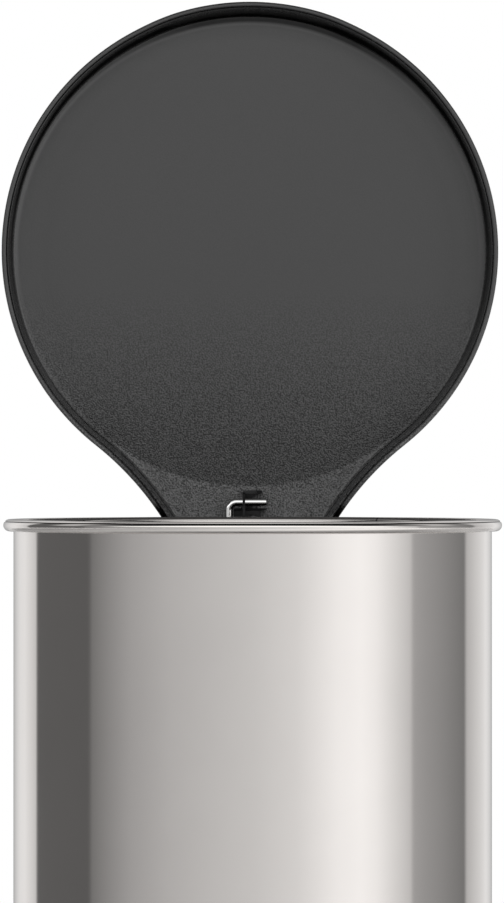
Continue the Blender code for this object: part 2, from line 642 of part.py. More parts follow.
arc = [(H_Y + 5.2 * math.cos(math.radians(a)), H_Z + 5.2 * math.sin(math.radians(a)))
       for a in (-10, 20, 50, 80, 110, 140)]
side = [(140, -95), (172, -95), (178.5, -91.5), (H_Y + 6.5, -85), (H_Y + 6.5, -16)] + arc + \
       [(163, -10.5), (156, -11.5), (140, -11.5)]
bracket = link("hinge_bracket", prism("hinge_bracket", [rim(*p) for p in side], 'YZ', -BRK_X, BRK_X),
               M["hinge_bracket"])
bevel(bracket, 1.2, 2, 50)
flange = cutter("join_bracket_flange", prism("join_bracket_flange", sector(R_BODY + GAP, R_BODY + 3.3, 23.6, 12), 'XY',
                Z_RIM - 93, Z_RIM - 14))
inner_cut = [
    cutter("cut_bracket_channel", box_me("cut_bracket_channel", -(BRK_X - CHEEK), BRK_X - CHEEK, 120, H_Y + 3.5,
           Z_RIM - 91.5, Z_RIM + 10)),
    cutter("cut_bracket_top", box_me("cut_bracket_top", -(BRK_X - CHEEK), BRK_X - CHEEK, 168, 190,
           Z_RIM - 15.0, Z_RIM + 10)),
    cutter("cut_bracket_wall", rod_me("cut_bracket_wall", (R_BODY + GAP) / math.cos(math.pi / 84),
           (0, 0, Z_RIM - 110), (0, 0, Z_RIM + 12), 84)),
]
boolean(bracket, [flange], 'UNION')
boolean(bracket, inner_cut)
pins = [cutter("cut_cheek_bore_" + s, rod_me("cut_cheek_bore_" + s, PIN_R + GAP,
        (x * 28, H_Y, Z_RIM + H_Z), (x * 44, H_Y, Z_RIM + H_Z), 20)) for s, x in (("left", -1), ("right", 1))]
boolean(bracket, pins + hinge_holes)

for s, x in (("left", -1), ("right", 1)):
    hp = link("hinge_pin_" + s, rod_me("hinge_pin_" + s, PIN_R, (x * 32.4, H_Y, Z_RIM + H_Z),
              (x * 46.5, H_Y, Z_RIM + H_Z), 20), M["hinge_pin"])
    bevel(hp, 0.3, 1)

backing = link("hinge_backing_plate", prism("hinge_backing_plate", sector(141.2, R_BODY - T_BODY - GAP, 24.0, 12), 'XY',
               Z_RIM - 92, Z_RIM - 26), M["hinge_backing_plate"])
boolean(backing, [cutter("cut_backing_window", box_me("cut_backing_window", -24, 24, 120, 160, Z_RIM - 100, Z_RIM - 42))]
        + hinge_holes)

hs = screw_mesh("hinge_screw", 4.0, 2.4, 2.0, 8.4)
for tag, deg, dz in HINGE_SCREWS:
    o = link("hinge_screw_" + tag, hs, M["screw"], loc=around(R_BODY + 3.3 + 0.35, deg, Z_RIM + dz))
    o.rotation_euler = (math.radians(-90), 0, math.radians(-deg))

# ---- bucket and its support -------------------------------------------------
support = link("bucket_support_ring", lathe("bucket_support_ring", [
    (R_BODY - T_BODY - GAP, 632.0), (R_BODY - T_BODY - GAP, 616.0), (141.2, 616.0), (141.2, 628.0), (134.0, 629.4),
    (134.0, 632.0)], 60), M["bucket_support_ring"], smooth=True)

bucket_prof = [(0, 58.6), (104.0, 58.6), (106.2, 60.2), (118.6, 629.4), (120.6, 633.2), (122.6, 634.8),
               (138.6, 634.8), (140.0, 634.2), (140.6, 632.4), (123.6, 632.4), (121.2, 628.4), (108.4, 58.6),
               (105.8, 56.0), (0, 56.0)]
bucket = link("inner_bucket", lathe("inner_bucket", bucket_prof, 64, closed=False), M["inner_bucket"], smooth=True)
boolean(bucket, [cutter("cut_grip_" + s, prism("cut_grip_" + s, round_rect(8.4, 62, 4.0, 4, x * 130.0, 0), 'XY', 630.5, 640))
                 for s, x in (("left", -1), ("right", 1))])

# ---- rod guide --------------------------------------------------------------
guide_pts = [(ROD_X - 5.4, 147), (ROD_X - 5.4, 119.5), (ROD_X - 3.1, 119.5), (ROD_X - 3.1, 136.5),
             (ROD_X + 3.1, 136.5), (ROD_X + 3.1, 119.5), (ROD_X + 5.4, 119.5), (ROD_X + 5.4, 147)]
guide = link("rod_guide", prism("rod_guide", guide_pts, 'XY', 138, 162), M["rod_guide"])
hull = cutter("cut_guide_wall", lathe("cut_guide_wall", [
    (R_BODY - T_BODY - GAP, 120.0), (R_BODY - T_BODY - GAP, 180.0), (170.0, 180.0), (170.0, 120.0)], 84))
boolean(guide, [hull])
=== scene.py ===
"""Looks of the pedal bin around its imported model: every node gets a fine smooth
piece and a procedural material. Metres, +Z up, front toward -Y."""
import math

import bmesh
import bpy
from mathutils import Matrix, Vector


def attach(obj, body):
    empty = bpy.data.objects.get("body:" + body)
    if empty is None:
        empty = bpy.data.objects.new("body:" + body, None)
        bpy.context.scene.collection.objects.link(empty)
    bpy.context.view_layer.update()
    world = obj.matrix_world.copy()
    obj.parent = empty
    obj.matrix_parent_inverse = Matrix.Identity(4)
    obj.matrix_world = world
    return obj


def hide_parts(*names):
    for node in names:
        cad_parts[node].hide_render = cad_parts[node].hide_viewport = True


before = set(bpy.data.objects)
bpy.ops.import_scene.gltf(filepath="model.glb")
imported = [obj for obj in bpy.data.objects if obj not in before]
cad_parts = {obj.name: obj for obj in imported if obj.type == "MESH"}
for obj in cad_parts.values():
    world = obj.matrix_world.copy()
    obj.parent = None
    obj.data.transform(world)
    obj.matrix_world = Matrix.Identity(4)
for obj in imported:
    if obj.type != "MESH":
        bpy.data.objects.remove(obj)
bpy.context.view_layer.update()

MM = 0.001

# ---- dimensions, mm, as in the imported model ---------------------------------
Z_RIM = 640.0
R_BODY, T_BODY = 143.9, 0.8
R_BEAD, T_BEAD = 146.4, 3.6
Z_BODY0 = 38.0
LID_R, LID_PSI, LID_RC, FINGER = 158.25, math.radians(38.4), 193.05, 0.5
LID_V_END, LID_V_AXIS = 184.4, 175.4
W_PANEL, R_CREASE, FACET = 4.5, 150.5, 0.11
H_Y, H_Z = 175.3, -6.0
ROD_R, ROD_X, ROD_IN_Y = 2.5, -13.5, 137.0
P_OPEN = (170.3, 9.0)
FOOT_Y, FOOT_Z = 127.0, 34.0
BRK_X, CHEEK, PIN_R, GAP = 40.0, 8.0, 2.0, 0.3
PIV_Y, PIV_Z = -25.0, 20.0
LEVER_X, LEVER_T, TIP_Y = 12.0, 4.0, -197.0
RING_R, RING_IN, RING_Z0, RING_Z1 = 146.0, 139.5, 4.0, 44.0

COLL = bpy.data.collections.new("pedal_bin_looks")
bpy.context.scene.collection.children.link(COLL)
TEMP = bpy.data.collections.new("construction")
bpy.context.scene.collection.children.link(TEMP)


# ---- mesh helpers -----------------------------------------------------------
def tidy(me, dist=1e-7):
    bm = bmesh.new()
    bm.from_mesh(me)
    bmesh.ops.remove_doubles(bm, verts=bm.verts, dist=dist)
    bmesh.ops.recalc_face_normals(bm, faces=bm.faces)
    bm.to_mesh(me)
    bm.free()
    return me


def temp_object(me):
    o = bpy.data.objects.new(me.name, me)
    TEMP.objects.link(o)
    return o


def baked(o):
    dg = bpy.context.evaluated_depsgraph_get()
    me = bpy.data.meshes.new_from_object(o.evaluated_get(dg))
    bpy.data.objects.remove(o, do_unlink=True)
    return me


def lathe(name, profile, steps, closed=True):
    """Screw of (radius, height) points in mm about Z."""
    me = bpy.data.meshes.new(name)
    verts = [(r * MM, 0.0, z * MM) for r, z in profile]
    edges = [(i, i + 1) for i in range(len(verts) - 1)]
    if closed:
        edges.append((len(verts) - 1, 0))
    me.from_pydata(verts, edges, [])
    o = temp_object(me)
    s = o.modifiers.new("turn", 'SCREW')
    s.axis, s.angle = 'Z', math.tau
    s.steps = s.render_steps = steps
    s.use_merge_vertices = True
    s.merge_threshold = 1e-6
    out = tidy(baked(o))
    out.name = name
    return out


def prism(name, pts, plane, a0, a1):
    """Outline filled and carried from a0 to a1. plane is 'XY', 'YZ' or 'XZ'."""
    bm = bmesh.new()
    vs = [bm.verts.new((a * MM, b * MM, 0.0)) for a, b in pts]
    f = bm.faces.new(vs)
    bmesh.ops.recalc_face_normals(bm, faces=[f])
    ext = bmesh.ops.extrude_face_region(bm, geom=[f])
    top = [e for e in ext["geom"] if isinstance(e, bmesh.types.BMVert)]
    bmesh.ops.translate(bm, vec=(0, 0, abs(a1 - a0) * MM), verts=top)
    bmesh.ops.translate(bm, vec=(0, 0, -abs(a1 - a0) / 2 * MM), verts=bm.verts)
    bmesh.ops.recalc_face_normals(bm, faces=bm.faces)
    me = bpy.data.meshes.new(name)
    bm.to_mesh(me)
    bm.free()
    mid = (a0 + a1) / 2 * MM
    if plane == 'YZ':
        m = Matrix(((0, 0, 1, mid), (1, 0, 0, 0), (0, 1, 0, 0), (0, 0, 0, 1)))
    elif plane == 'XZ':
        m = Matrix(((1, 0, 0, 0), (0, 0, -1, mid), (0, 1, 0, 0), (0, 0, 0, 1)))
    else:
        m = Matrix.Translation((0, 0, mid))
    me.transform(m)
    return me


def box_me(name, x0, x1, y0, y1, z0, z1):
    bm = bmesh.new()
    bmesh.ops.create_cube(bm, size=1.0)
    bmesh.ops.scale(bm, vec=((x1 - x0) * MM, (y1 - y0) * MM, (z1 - z0) * MM), verts=bm.verts)
    bmesh.ops.translate(bm, vec=((x0 + x1) / 2 * MM, (y0 + y1) / 2 * MM, (z0 + z1) / 2 * MM),
                        verts=bm.verts)
    me = bpy.data.meshes.new(name)
    bm.to_mesh(me)
    bm.free()
    return me


def rod_me(name, r, start, end, n=48):
    a, b = Vector(start) * MM, Vector(end) * MM
    d = b - a
    bm = bmesh.new()
    bmesh.ops.create_cone(bm, cap_ends=True, segments=n, radius1=r * MM, radius2=r * MM, depth=d.length)
    rot = d.to_track_quat('Z', 'Y').to_matrix().to_4x4()
    bmesh.ops.transform(bm, matrix=Matrix.Translation((a + b) / 2) @ rot, verts=bm.verts)
    me = bpy.data.meshes.new(name)
    bm.to_mesh(me)
    bm.free()
    return me


def fillet(points, radii, segs=16):
    pts = [Vector(p) for p in points]
    out = [pts[0]]
    for i in range(1, len(pts) - 1):
        a, b, c = pts[i - 1], pts[i], pts[i + 1]
        u, v = (a - b).normalized(), (c - b).normalized()
        ang = u.angle(v)
        t = radii[i - 1] / math.tan(ang / 2)
        centre = b + (u + v).normalized() * (radii[i - 1] / math.sin(ang / 2))
        s, e = b + u * t - centre, b + v * t - centre
        tot = s.angle(e)
        axis = s.cross(e).normalized()
        for k in range(segs + 1):
            out.append(centre + Matrix.Rotation(tot * k / segs, 3, axis) @ s)
    out.append(pts[-1])
    return out


def round2d(points, radii, segs=5):
    """2-D outline with rounded corners; a radius of 0 leaves the corner."""
    n = len(points)
    out = []
    for i in range(n):
        p, q, r = Vector(points[i - 1]), Vector(points[i]), Vector(points[(i + 1) % n])
        rad = radii[i] if isinstance(radii, (list, tuple)) else radii
        u, v = (p - q).normalized(), (r - q).normalized()
        ang = u.angle(v)
        if rad <= 0 or ang > math.pi - 0.05:
            out.append(tuple(q))
            continue
        t = min(rad / math.tan(ang / 2), (p - q).length * 0.48, (r - q).length * 0.48)
        a, b = q + u * t, q + v * t
        for k in range(segs + 1):
            s = k / segs
            out.append(tuple((1 - s) ** 2 * a + 2 * s * (1 - s) * q + s * s * b))
    return out


def round_rect(w, h, r, n=8, cx=0.0, cy=0.0):
    pts = []
    for sx, sy, a0 in ((1, 1, 0), (-1, 1, 90), (-1, -1, 180), (1, -1, 270)):
        for k in range(n + 1):
            a = math.radians(a0 + 90 * k / n)
            pts.append((cx + sx * (w / 2 - r) + r * math.cos(a), cy + sy * (h / 2 - r) + r * math.sin(a)))
    return pts


def sector(r0, r1, half_deg, n=40):
    pts = []
    for k in range(n + 1):
        a = math.radians(90 + half_deg - 2 * half_deg * k / n)
        pts.append((r1 * math.cos(a), r1 * math.sin(a)))
    for k in range(n + 1):
        a = math.radians(90 - half_deg + 2 * half_deg * k / n)
        pts.append((r0 * math.cos(a), r0 * math.sin(a)))
    return pts


def joined(name, base, ops):
    """Boolean operations in turn: (operation, mesh)."""
    o = temp_object(base)
    others = []
    for op, me in ops:
        c = temp_object(me)
        others.append(c)
        m = o.modifiers.new("op", 'BOOLEAN')
        m.operation, m.solver, m.object = op, 'EXACT', c
    me = baked(o)
    for c in others:
        bpy.data.objects.remove(c, do_unlink=True)
    me.name = name
    return me


LID_M = Matrix.Translation((0, H_Y * MM, (Z_RIM + H_Z) * MM)) @ Matrix.Rotation(math.radians(-90), 4, 'X')
LID_I = LID_M.inverted()


def piece(name, me, nodes, body, mat, sharp=32, bev=0.0, bev_segs=3, bev_angle=30, smooth=True):
    """A finished piece in place of CAD nodes."""
    me.name = name
    me.materials.clear()
    me.materials.append(mat)
    if smooth:
        me.shade_smooth()
        if sharp:
            me.set_sharp_from_angle(angle=math.radians(sharp))
    o = bpy.data.objects.new(name, me)
    COLL.objects.link(o)
    if bev:
        b = o.modifiers.new("edge", 'BEVEL')
        b.width, b.segments = bev * MM, bev_segs
        b.limit_method, b.angle_limit = 'ANGLE', math.radians(bev_angle)
        b.use_clamp_overlap = True
        b.harden_normals = False
    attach(o, body)
    if nodes:
        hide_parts(*nodes)
    return o


# ---- material helpers -------------------------------------------------------
class Nodes:
    def __init__(self, name):
        self.m = bpy.data.materials.new(name)
        self.m.use_nodes = True
        self.t = self.m.node_tree
        self.b = self.t.nodes["Principled BSDF"]
        self.co = self.t.nodes.new("ShaderNodeTexCoord").outputs["Object"]

    def put(self, **kw):
        for k, v in kw.items():
            self.b.inputs[k.replace("_", " ")].default_value = v
        return self

    def link(self, a, b):
        self.t.links.new(a, b)

    def mapped(self, scale=(1, 1, 1), co=None):
        n = self.t.nodes.new("ShaderNodeMapping")
        n.inputs["Scale"].default_value = scale
        self.link(co or self.co, n.inputs["Vector"])
        return n.outputs["Vector"]

    def noise(self, scale, detail=2.0, rough=0.5, co=None, distortion=0.0):
        n = self.t.nodes.new("ShaderNodeTexNoise")
        n.inputs["Scale"].default_value = scale
        n.inputs["Detail"].default_value = detail
        n.inputs["Roughness"].default_value = rough
        n.inputs["Distortion"].default_value = distortion
        self.link(co or self.co, n.inputs["Vector"])
        return n.outputs["Fac"]

    def voronoi(self, scale, co=None, feature='F1'):
        n = self.t.nodes.new("ShaderNodeTexVoronoi")
        n.feature = feature
        n.inputs["Scale"].default_value = scale
        self.link(co or self.co, n.inputs["Vector"])
        return n.outputs["Distance"]

    def span(self, fac, a, b, lo=0.0, hi=1.0):
        n = self.t.nodes.new("ShaderNodeMapRange")
        n.inputs["From Min"].default_value = lo
        n.inputs["From Max"].default_value = hi
        n.inputs["To Min"].default_value = a
        n.inputs["To Max"].default_value = b
        self.link(fac, n.inputs["Value"])
        return n.outputs["Result"]

    def math(self, op, a, b=None):
        n = self.t.nodes.new("ShaderNodeMath")
        n.operation = op
        for i, v in enumerate((a, b)):
            if v is None:
                continue
            if isinstance(v, (int, float)):
                n.inputs[i].default_value = v
            else:
                self.link(v, n.inputs[i])
        return n.outputs[0]

    def xyz(self, co=None):
        n = self.t.nodes.new("ShaderNodeSeparateXYZ")
        self.link(co or self.co, n.inputs[0])
        return n.outputs

    def ramp(self, fac, stops):
        n = self.t.nodes.new("ShaderNodeValToRGB")
        r = n.color_ramp
        while len(r.elements) > 1:
            r.elements.remove(r.elements[-1])
        for i, (p, c) in enumerate(stops):
            e = r.elements[0] if i == 0 else r.elements.new(p)
            e.position = p
            e.color = (*c, 1.0)
        self.link(fac, n.inputs["Fac"])
        return n.outputs["Color"]

    def bump(self, height, distance, strength=1.0, normal=None):
        n = self.t.nodes.new("ShaderNodeBump")
        n.inputs["Strength"].default_value = strength
        n.inputs["Distance"].default_value = distance
        self.link(height, n.inputs["Height"])
        if normal is not None:
            self.link(normal, n.inputs["Normal"])
        return n.outputs["Normal"]

    def into(self, out, socket):
        self.link(out, self.b.inputs[socket])
        return self


def tint(c, k):
    return tuple(min(1.0, v * k) for v in c)


def steel(name, color, rough, spread=0.03, brush=None, brush_depth=2e-6, ripple=0.0, seam=None):
    """Stainless or plated sheet: smudged gloss, and fine lines along one direction if brushed.
    A seam (bead radius, bead height, depth) has painted shade, a near-black colour, at the bottom of its groove."""
    n = Nodes(name)
    n.put(Metallic=1.0)
    cloud = n.noise(9.0, 4.0, 0.6)
    if seam:
        x, y, z = n.xyz()
        dr = n.math('SUBTRACT', n.math('SQRT', n.math('ADD', n.math('MULTIPLY', x, x), n.math('MULTIPLY', y, y))), seam[0])
        dz = n.math('SUBTRACT', z, seam[1])
        rho = n.math('SQRT', n.math('ADD', n.math('MULTIPLY', dr, dr), n.math('MULTIPLY', dz, dz)))
        # painted shade: the groove's bottom is coloured near black where shade falls
        groove_unshaded = n.span(rho, 0.0, 1.0, seam[2] - 0.0003, seam[2] - 0.0001)
        tone = n.math('MULTIPLY', n.span(cloud, 0.485, 0.51, 0.3, 0.7), groove_unshaded)
        n.into(n.ramp(tone, [(0.0, tint(color, 0.03)), (0.50, color), (1.0, tint(color, 2.0))]), "Base Color")
    else:
        n.into(n.ramp(cloud, [(0.30, tint(color, 0.975)), (0.70, tint(color, 1.02))]), "Base Color")
    smudge = n.noise(28.0, 5.0, 0.65)
    n.into(n.span(smudge, rough - spread, rough + spread, 0.3, 0.7), "Roughness")
    normal = None
    if ripple:
        normal = n.bump(n.noise(24.0, 1.0, 0.4), ripple)
    if brush:
        lines = n.noise(1.0, 2.0, 0.6, n.mapped(brush))
        normal = n.bump(lines, brush_depth, 1.0, normal)
    if normal is not None:
        n.into(normal, "Normal")
    return n.m


def plastic(name, color, rough, grain=900.0, depth=2.5e-5, spread=0.04, spec=0.5):
    """Moulded plastic with an eroded grain, slightly uneven in tone and gloss."""
    n = Nodes(name)
    n.b.inputs["Specular IOR Level"].default_value = spec
    tone = n.noise(14.0, 3.0, 0.55)
    n.into(n.ramp(tone, [(0.3, tint(color, 0.9)), (0.7, tint(color, 1.1))]), "Base Color")
    n.into(n.span(n.noise(60.0, 3.0, 0.6), rough - spread, rough + spread, 0.3, 0.7), "Roughness")
    g = n.noise(grain, 3.0, 0.6)
    n.into(n.bump(g, depth), "Normal")
    return n.m


def rubber(name, color):
    n = Nodes(name)
    n.b.inputs["Specular IOR Level"].default_value = 0.35
    dust = n.noise(45.0, 5.0, 0.7)
    n.into(n.ramp(dust, [(0.35, tint(color, 0.8)), (0.75, tint(color, 1.7))]), "Base Color")
    n.into(n.span(n.noise(120.0, 3.0, 0.6), 0.68, 0.86, 0.3, 0.7), "Roughness")
    n.into(n.bump(n.noise(1500.0, 2.0, 0.6), 2.5e-5), "Normal")
    return n.m


def clip_material():
    """Black moulded plastic; its flat back parts and low parts are painted greyer as painted light, and the parts in
    front stay black as painted shade.
    """
    n = Nodes("look_rod_clip")
    n.b.inputs["Specular IOR Level"].default_value = 0.22
    x, y, z = n.xyz()
    # painted light and shade: lighter colour near the panel and low down, black on the front parts
    painted_shading = n.math('MAXIMUM', n.span(y, 0.0, 1.0, 0.1774, 0.1782), n.span(z, 0.50, 0.0, 0.6462, 0.6470))
    tone = n.math('MULTIPLY', painted_shading, n.span(n.noise(160.0, 3.0, 0.6), 0.75, 1.25, 0.3, 0.7))
    n.into(n.ramp(n.math('MULTIPLY', tone, 0.8), [(0.0, (0.003, 0.003, 0.0033)), (1.0, (0.040, 0.040, 0.041))]), "Base Color")
    n.into(n.span(n.noise(60.0, 3.0, 0.6), 0.51, 0.59, 0.3, 0.7), "Roughness")
    n.into(n.bump(n.noise(1500.0, 3.0, 0.6), 1.2e-5), "Normal")
    return n.m


# ---- materials --------------------------------------------------------------
# the body's bead groove gets painted shade at its bottom
m_body = steel("look_steel_body", (0.642, 0.615, 0.597), 0.070, 0.018, ripple=4e-6,
               seam=(R_BEAD * MM, (Z_RIM - T_BEAD) * MM, T_BEAD * MM))
m_cover = steel("look_lid_cover", (0.62, 0.607, 0.588), 0.13, 0.03, ripple=6e-6)
m_rod = steel("look_lift_rod", (0.80, 0.80, 0.795), 0.075, 0.02)
m_lever = steel("look_pedal_lever", (0.50, 0.50, 0.51), 0.30, 0.06, (30, 900, 900), 8e-6)
m_tread = steel("look_pedal_tread", (0.60, 0.585, 0.565), 0.19, 0.05, (30, 1200, 1200), 6e-6)
m_pin = steel("look_pins", (0.62, 0.62, 0.63), 0.22, 0.04, (1500, 60, 60), 4e-6)
m_zinc = steel("look_zinc", (0.46, 0.47, 0.49), 0.36, 0.08)
m_screw = steel("look_screw", (0.52, 0.525, 0.54), 0.27, 0.07)
m_oxide = steel("look_black_oxide", (0.05, 0.05, 0.052), 0.34, 0.06)
m_clip = clip_material()
m_ring = plastic("look_base_ring", (0.016, 0.016, 0.017), 0.42, 1000.0, 2.2e-5)
m_plate = plastic("look_base_plate", (0.020, 0.020, 0.021), 0.55, 700.0, 4e-5)
m_brk = plastic("look_hinge_bracket", (0.015, 0.015, 0.016), 0.42, 1000.0, 2.4e-5)
m_sup = plastic("look_support_ring", (0.016, 0.016, 0.017), 0.48, 1000.0, 2.2e-5)
m_buck = plastic("look_inner_bucket", (0.040, 0.040, 0.041), 0.46, 800.0, 3e-5)
m_guide = plastic("look_rod_guide", (0.016, 0.016, 0.017), 0.48, 1100.0, 2e-5)
m_foot = rubber("look_foot", (0.020, 0.020, 0.020))
m_pad = rubber("look_pedal_pad", (0.018, 0.018, 0.018))


def liner_material():
    """Dark grey moulded tray: smooth upper part, eroded grain that grows toward the neck,
    walls painted darker than the faces that look out of it, and painted light and shade across the panel."""
    n = Nodes("look_lid_liner")
    n.b.inputs["Specular IOR Level"].default_value = 0.5
    tc = next(q for q in n.t.nodes if q.type == 'TEX_COORD')
    x, y, z = n.xyz()
    facing = n.xyz(tc.outputs["Normal"])[1]
    out = n.span(facing, 0.0, 1.0, -0.25, -0.90)
    flat = n.span(facing, 0.0, 1.0, -0.90, -0.985)
    wall = n.span(facing, 1.0, 0.0, -0.04, -0.22)
    near = n.span(z, 1.0, 0.0, 0.660, 0.785)
    dz = n.math('SUBTRACT', z, (Z_RIM + H_Z + LID_V_AXIS) * MM)
    r = n.math('SQRT', n.math('ADD', n.math('MULTIPLY', x, x), n.math('MULTIPLY', dz, dz)))
    inside = n.span(r, 1.0, 0.0, R_CREASE * MM - 0.0012, R_CREASE * MM + 0.0006)
    shade = n.math('MULTIPLY', near, inside)
    speck = n.math('SUBTRACT', n.noise(1000.0, 0.3, 0.5), 0.5)
    cloud = n.math('SUBTRACT', n.noise(7.0, 3.0, 0.5), 0.5)
    # painted shade: the round panel darker toward its lower part
    level = n.math('ADD', n.span(shade, 1.0, 0.60), n.math('MULTIPLY', cloud, 0.06))
    # painted light: the neck facet lighter toward the rim
    level = n.math('ADD', level, n.math('MULTIPLY', n.math('SUBTRACT', near, shade), n.span(z, 1.00, 0.80, 0.641, 0.660)))
    # the wall and fillet under the lid's crown lie in shade, and so does a strip of the panel beside them
    down = n.span(n.xyz(tc.outputs["Normal"])[2], 1.0, 0.10, -0.12, -0.55)
    level = n.math('MULTIPLY', level, n.math('MAXIMUM', down, n.span(r, 0.0, 1.0, 0.1529, 0.1533)))
    crown = n.math('ADD', n.math('MULTIPLY', x, math.sin(0.12)), n.math('MULTIPLY', dz, math.cos(0.12)))
    crown = n.span(n.math('DIVIDE', crown, r), 0.0, 1.0, 0.45, 0.94)
    within = n.span(r, 1.0, 0.0, 0.1529, 0.1533)
    edge = n.math('ADD', r, n.math('MULTIPLY', crown, 0.0022))
    fall = n.ramp(n.span(edge, 0.0, 1.0, 0.145, 0.155),
                  [(0.0, (0, 0, 0)), (0.39, (0, 0, 0)), (0.50, (0.30,) * 3), (0.61, (0.77,) * 3), (0.72, (0.80,) * 3),
                   (0.83, (0.75,) * 3), (0.94, (0.88,) * 3)])
    strip = n.math('MULTIPLY', n.math('MULTIPLY', fall, crown), within)
    level = n.math('MULTIPLY', level, n.math('SUBTRACT', 1.0, strip))
    # painted highlight: a fine light line follows the fillet, strongest on the left
    across = n.math('DIVIDE', x, r)
    line = n.math('SUBTRACT', edge, n.span(across, 0.0020, 0.0, -1.0, -0.1))
    line = n.math('SUBTRACT', line, n.math('MULTIPLY', crown, 0.0012))
    line = n.math('SUBTRACT', n.span(line, 0.0, 1.0, 0.1467, 0.1482), n.span(line, 0.0, 1.0, 0.1482, 0.1497))
    line = n.math('MULTIPLY', line, n.span(n.math('DIVIDE', dz, r), 0.0, 1.0, -0.22, -0.02))
    line = n.math('MULTIPLY', line, n.span(across, 0.60, 0.18, 0.0, 0.7))
    level = n.math('MULTIPLY', level, n.math('ADD', line, 1.0))
    # painted light: the panel is lightened toward the fillet so it keeps its tone there, with a painted highlight along
    # the left edge
    side = n.span(n.math('DIVIDE', dz, r), 0.0, 1.0, -0.80, -0.55)
    lift = n.math('MULTIPLY', n.span(r, 1.0, 1.22, 0.131, 0.141), n.span(r, 1.0, 1.38, 0.141, 0.1485))
    lift = n.math('MULTIPLY', lift, n.span(r, 1.0, 0.62, 0.1497, 0.1508))
    lift = n.math('SUBTRACT', lift, 1.0)
    left = n.math('MULTIPLY', n.span(n.math('DIVIDE', x, r), 0.35, 0.0, -0.9, -0.15), n.span(edge, 0.0, 1.0, 0.1476, 0.1490))
    lift = n.math('MULTIPLY', n.math('ADD', lift, n.math('MULTIPLY', left, within)), side)
    level = n.math('MULTIPLY', level, n.math('ADD', lift, 1.0))
    # painted shade: the panel darker toward the top
    level = n.math('MULTIPLY', level, n.span(z, 1.05, 0.785, 0.69, 0.906))
    level = n.math('MULTIPLY', level, n.math('ADD', 1.0, n.math('MULTIPLY', speck, n.math('MULTIPLY', n.span(near, 0.20, 6.8), n.span(inside, 0.48, 1.0)))))
    # painted light and shade: walls are painted dark, and toward the neck the wall is painted lit up to a thin painted
    # dark line at the panel
    low = n.span(z, 1.0, 0.0, 0.72, 0.87)
    band = n.math('MAXIMUM', n.span(facing, 1.0, 0.0, -0.50, -0.60), n.span(y, 1.0, 0.0, 0.165, 0.170))
    band = n.math('MULTIPLY', n.span(low, 0.0, 0.72), band)
    thin = n.math('MULTIPLY', n.math('SUBTRACT', n.span(facing, 0.0, 1.0, -0.972, -0.989), out), n.span(z, 1.0, 0.0, 0.70, 0.76))
    level = n.math('MULTIPLY', level, n.math('MAXIMUM', n.span(n.math('ADD', out, thin), 0.06, 1.0), band))
    # painted shade: the outer lip gets darker along the neck and ends in the hinge's shadow
    nx = n.math('SUBTRACT', n.math('ABSOLUTE', x), (LID_R + LID_RC) * math.sin(LID_PSI) * MM)
    nv = n.math('SUBTRACT', (LID_V_AXIS + H_Z + Z_RIM - (LID_R + LID_RC) * math.cos(LID_PSI)) * MM, z)
    nd = n.math('SQRT', n.math('ADD', n.math('MULTIPLY', nx, nx), n.math('MULTIPLY', nv, nv)))
    lip = n.math('MULTIPLY', n.span(nd, 1.0, 0.0, LID_RC * MM + 0.0031, LID_RC * MM + 0.0036), n.span(z, 1.0, 0.0, 0.686, 0.692))
    shaded = n.ramp(n.span(z, 0.0, 1.0, 0.640, 0.690),
                    [(0.0, (1.0,) * 3), (0.13, (0.95,) * 3), (0.19, (0.72,) * 3), (0.34, (0.65,) * 3), (0.60, (0.5,) * 3),
                     (0.78, (0.2,) * 3), (0.98, (0.0,) * 3)])
    level = n.math('MULTIPLY', level, n.math('SUBTRACT', 1.0, n.math('MULTIPLY', lip, shaded)))
    # painted highlight: the neck facet lighter along its outer edge
    verge = n.math('MULTIPLY', n.span(nd, 0.40, 0.0, LID_RC * MM + 0.0085, LID_RC * MM + 0.0125), n.span(z, 1.0, 0.0, 0.686, 0.692))
    level = n.math('MULTIPLY', level, n.math('ADD', 1.0, n.math('MULTIPLY', verge, flat)))
    n.into(n.ramp(n.math('DIVIDE', level, 3.0), [(0.0, (0.0, 0.0, 0.0)), (1.0, (0.144, 0.144, 0.1448))]), "Base Color")
    uneven = n.math('ADD', n.span(n.noise(190.0, 4.0, 0.6), -0.03, 0.03, 0.3, 0.7), n.span(flat, 0.27, 0.43))
    n.into(n.math('ADD', uneven, n.span(wall, 0.0, 0.6)), "Roughness")
    # painted shade: black metallic on the walls, the lip's lower end and the crown's strip kills their reflections, as
    # shade
    painted_shading = n.math('MULTIPLY', n.math('MULTIPLY', wall, within), n.math('SUBTRACT', 1.0, low))
    painted_shading = n.math('MAXIMUM', painted_shading, n.math('MULTIPLY', lip, n.span(z, 1.0, 0.0, 0.6450, 0.6480)))
    n.into(n.math('MAXIMUM', painted_shading, n.span(strip, 0.0, 1.0, 0.6, 1.0)), "Metallic")
    fine = n.math('MULTIPLY', n.noise(1000.0, 0.5, 0.5), n.math('MULTIPLY', out, n.span(near, 0.06, 1.0)))
    n.into(n.bump(fine, 6.0e-4), "Normal")
    return n.m


m_liner = liner_material()

# ---- steel body -------------------------------------------------------------
zc = Z_RIM - T_BEAD
a_in = math.degrees(math.acos((R_BODY - T_BODY - R_BEAD) / T_BEAD))
a_out = math.degrees(math.acos((R_BODY - R_BEAD) / T_BEAD))
prof = [(R_BODY - 0.15, Z_BODY0), (R_BODY - T_BODY + 0.15, Z_BODY0), (R_BODY - T_BODY, Z_BODY0 + 0.15)]
prof += [(R_BODY - T_BODY, z) for z in (90, 200, 320, 440, 540, 600, 625)]
NB = 60
turn = [360 - a_in + (a_in - a_out - 360) * k / NB for k in range(NB + 1)]
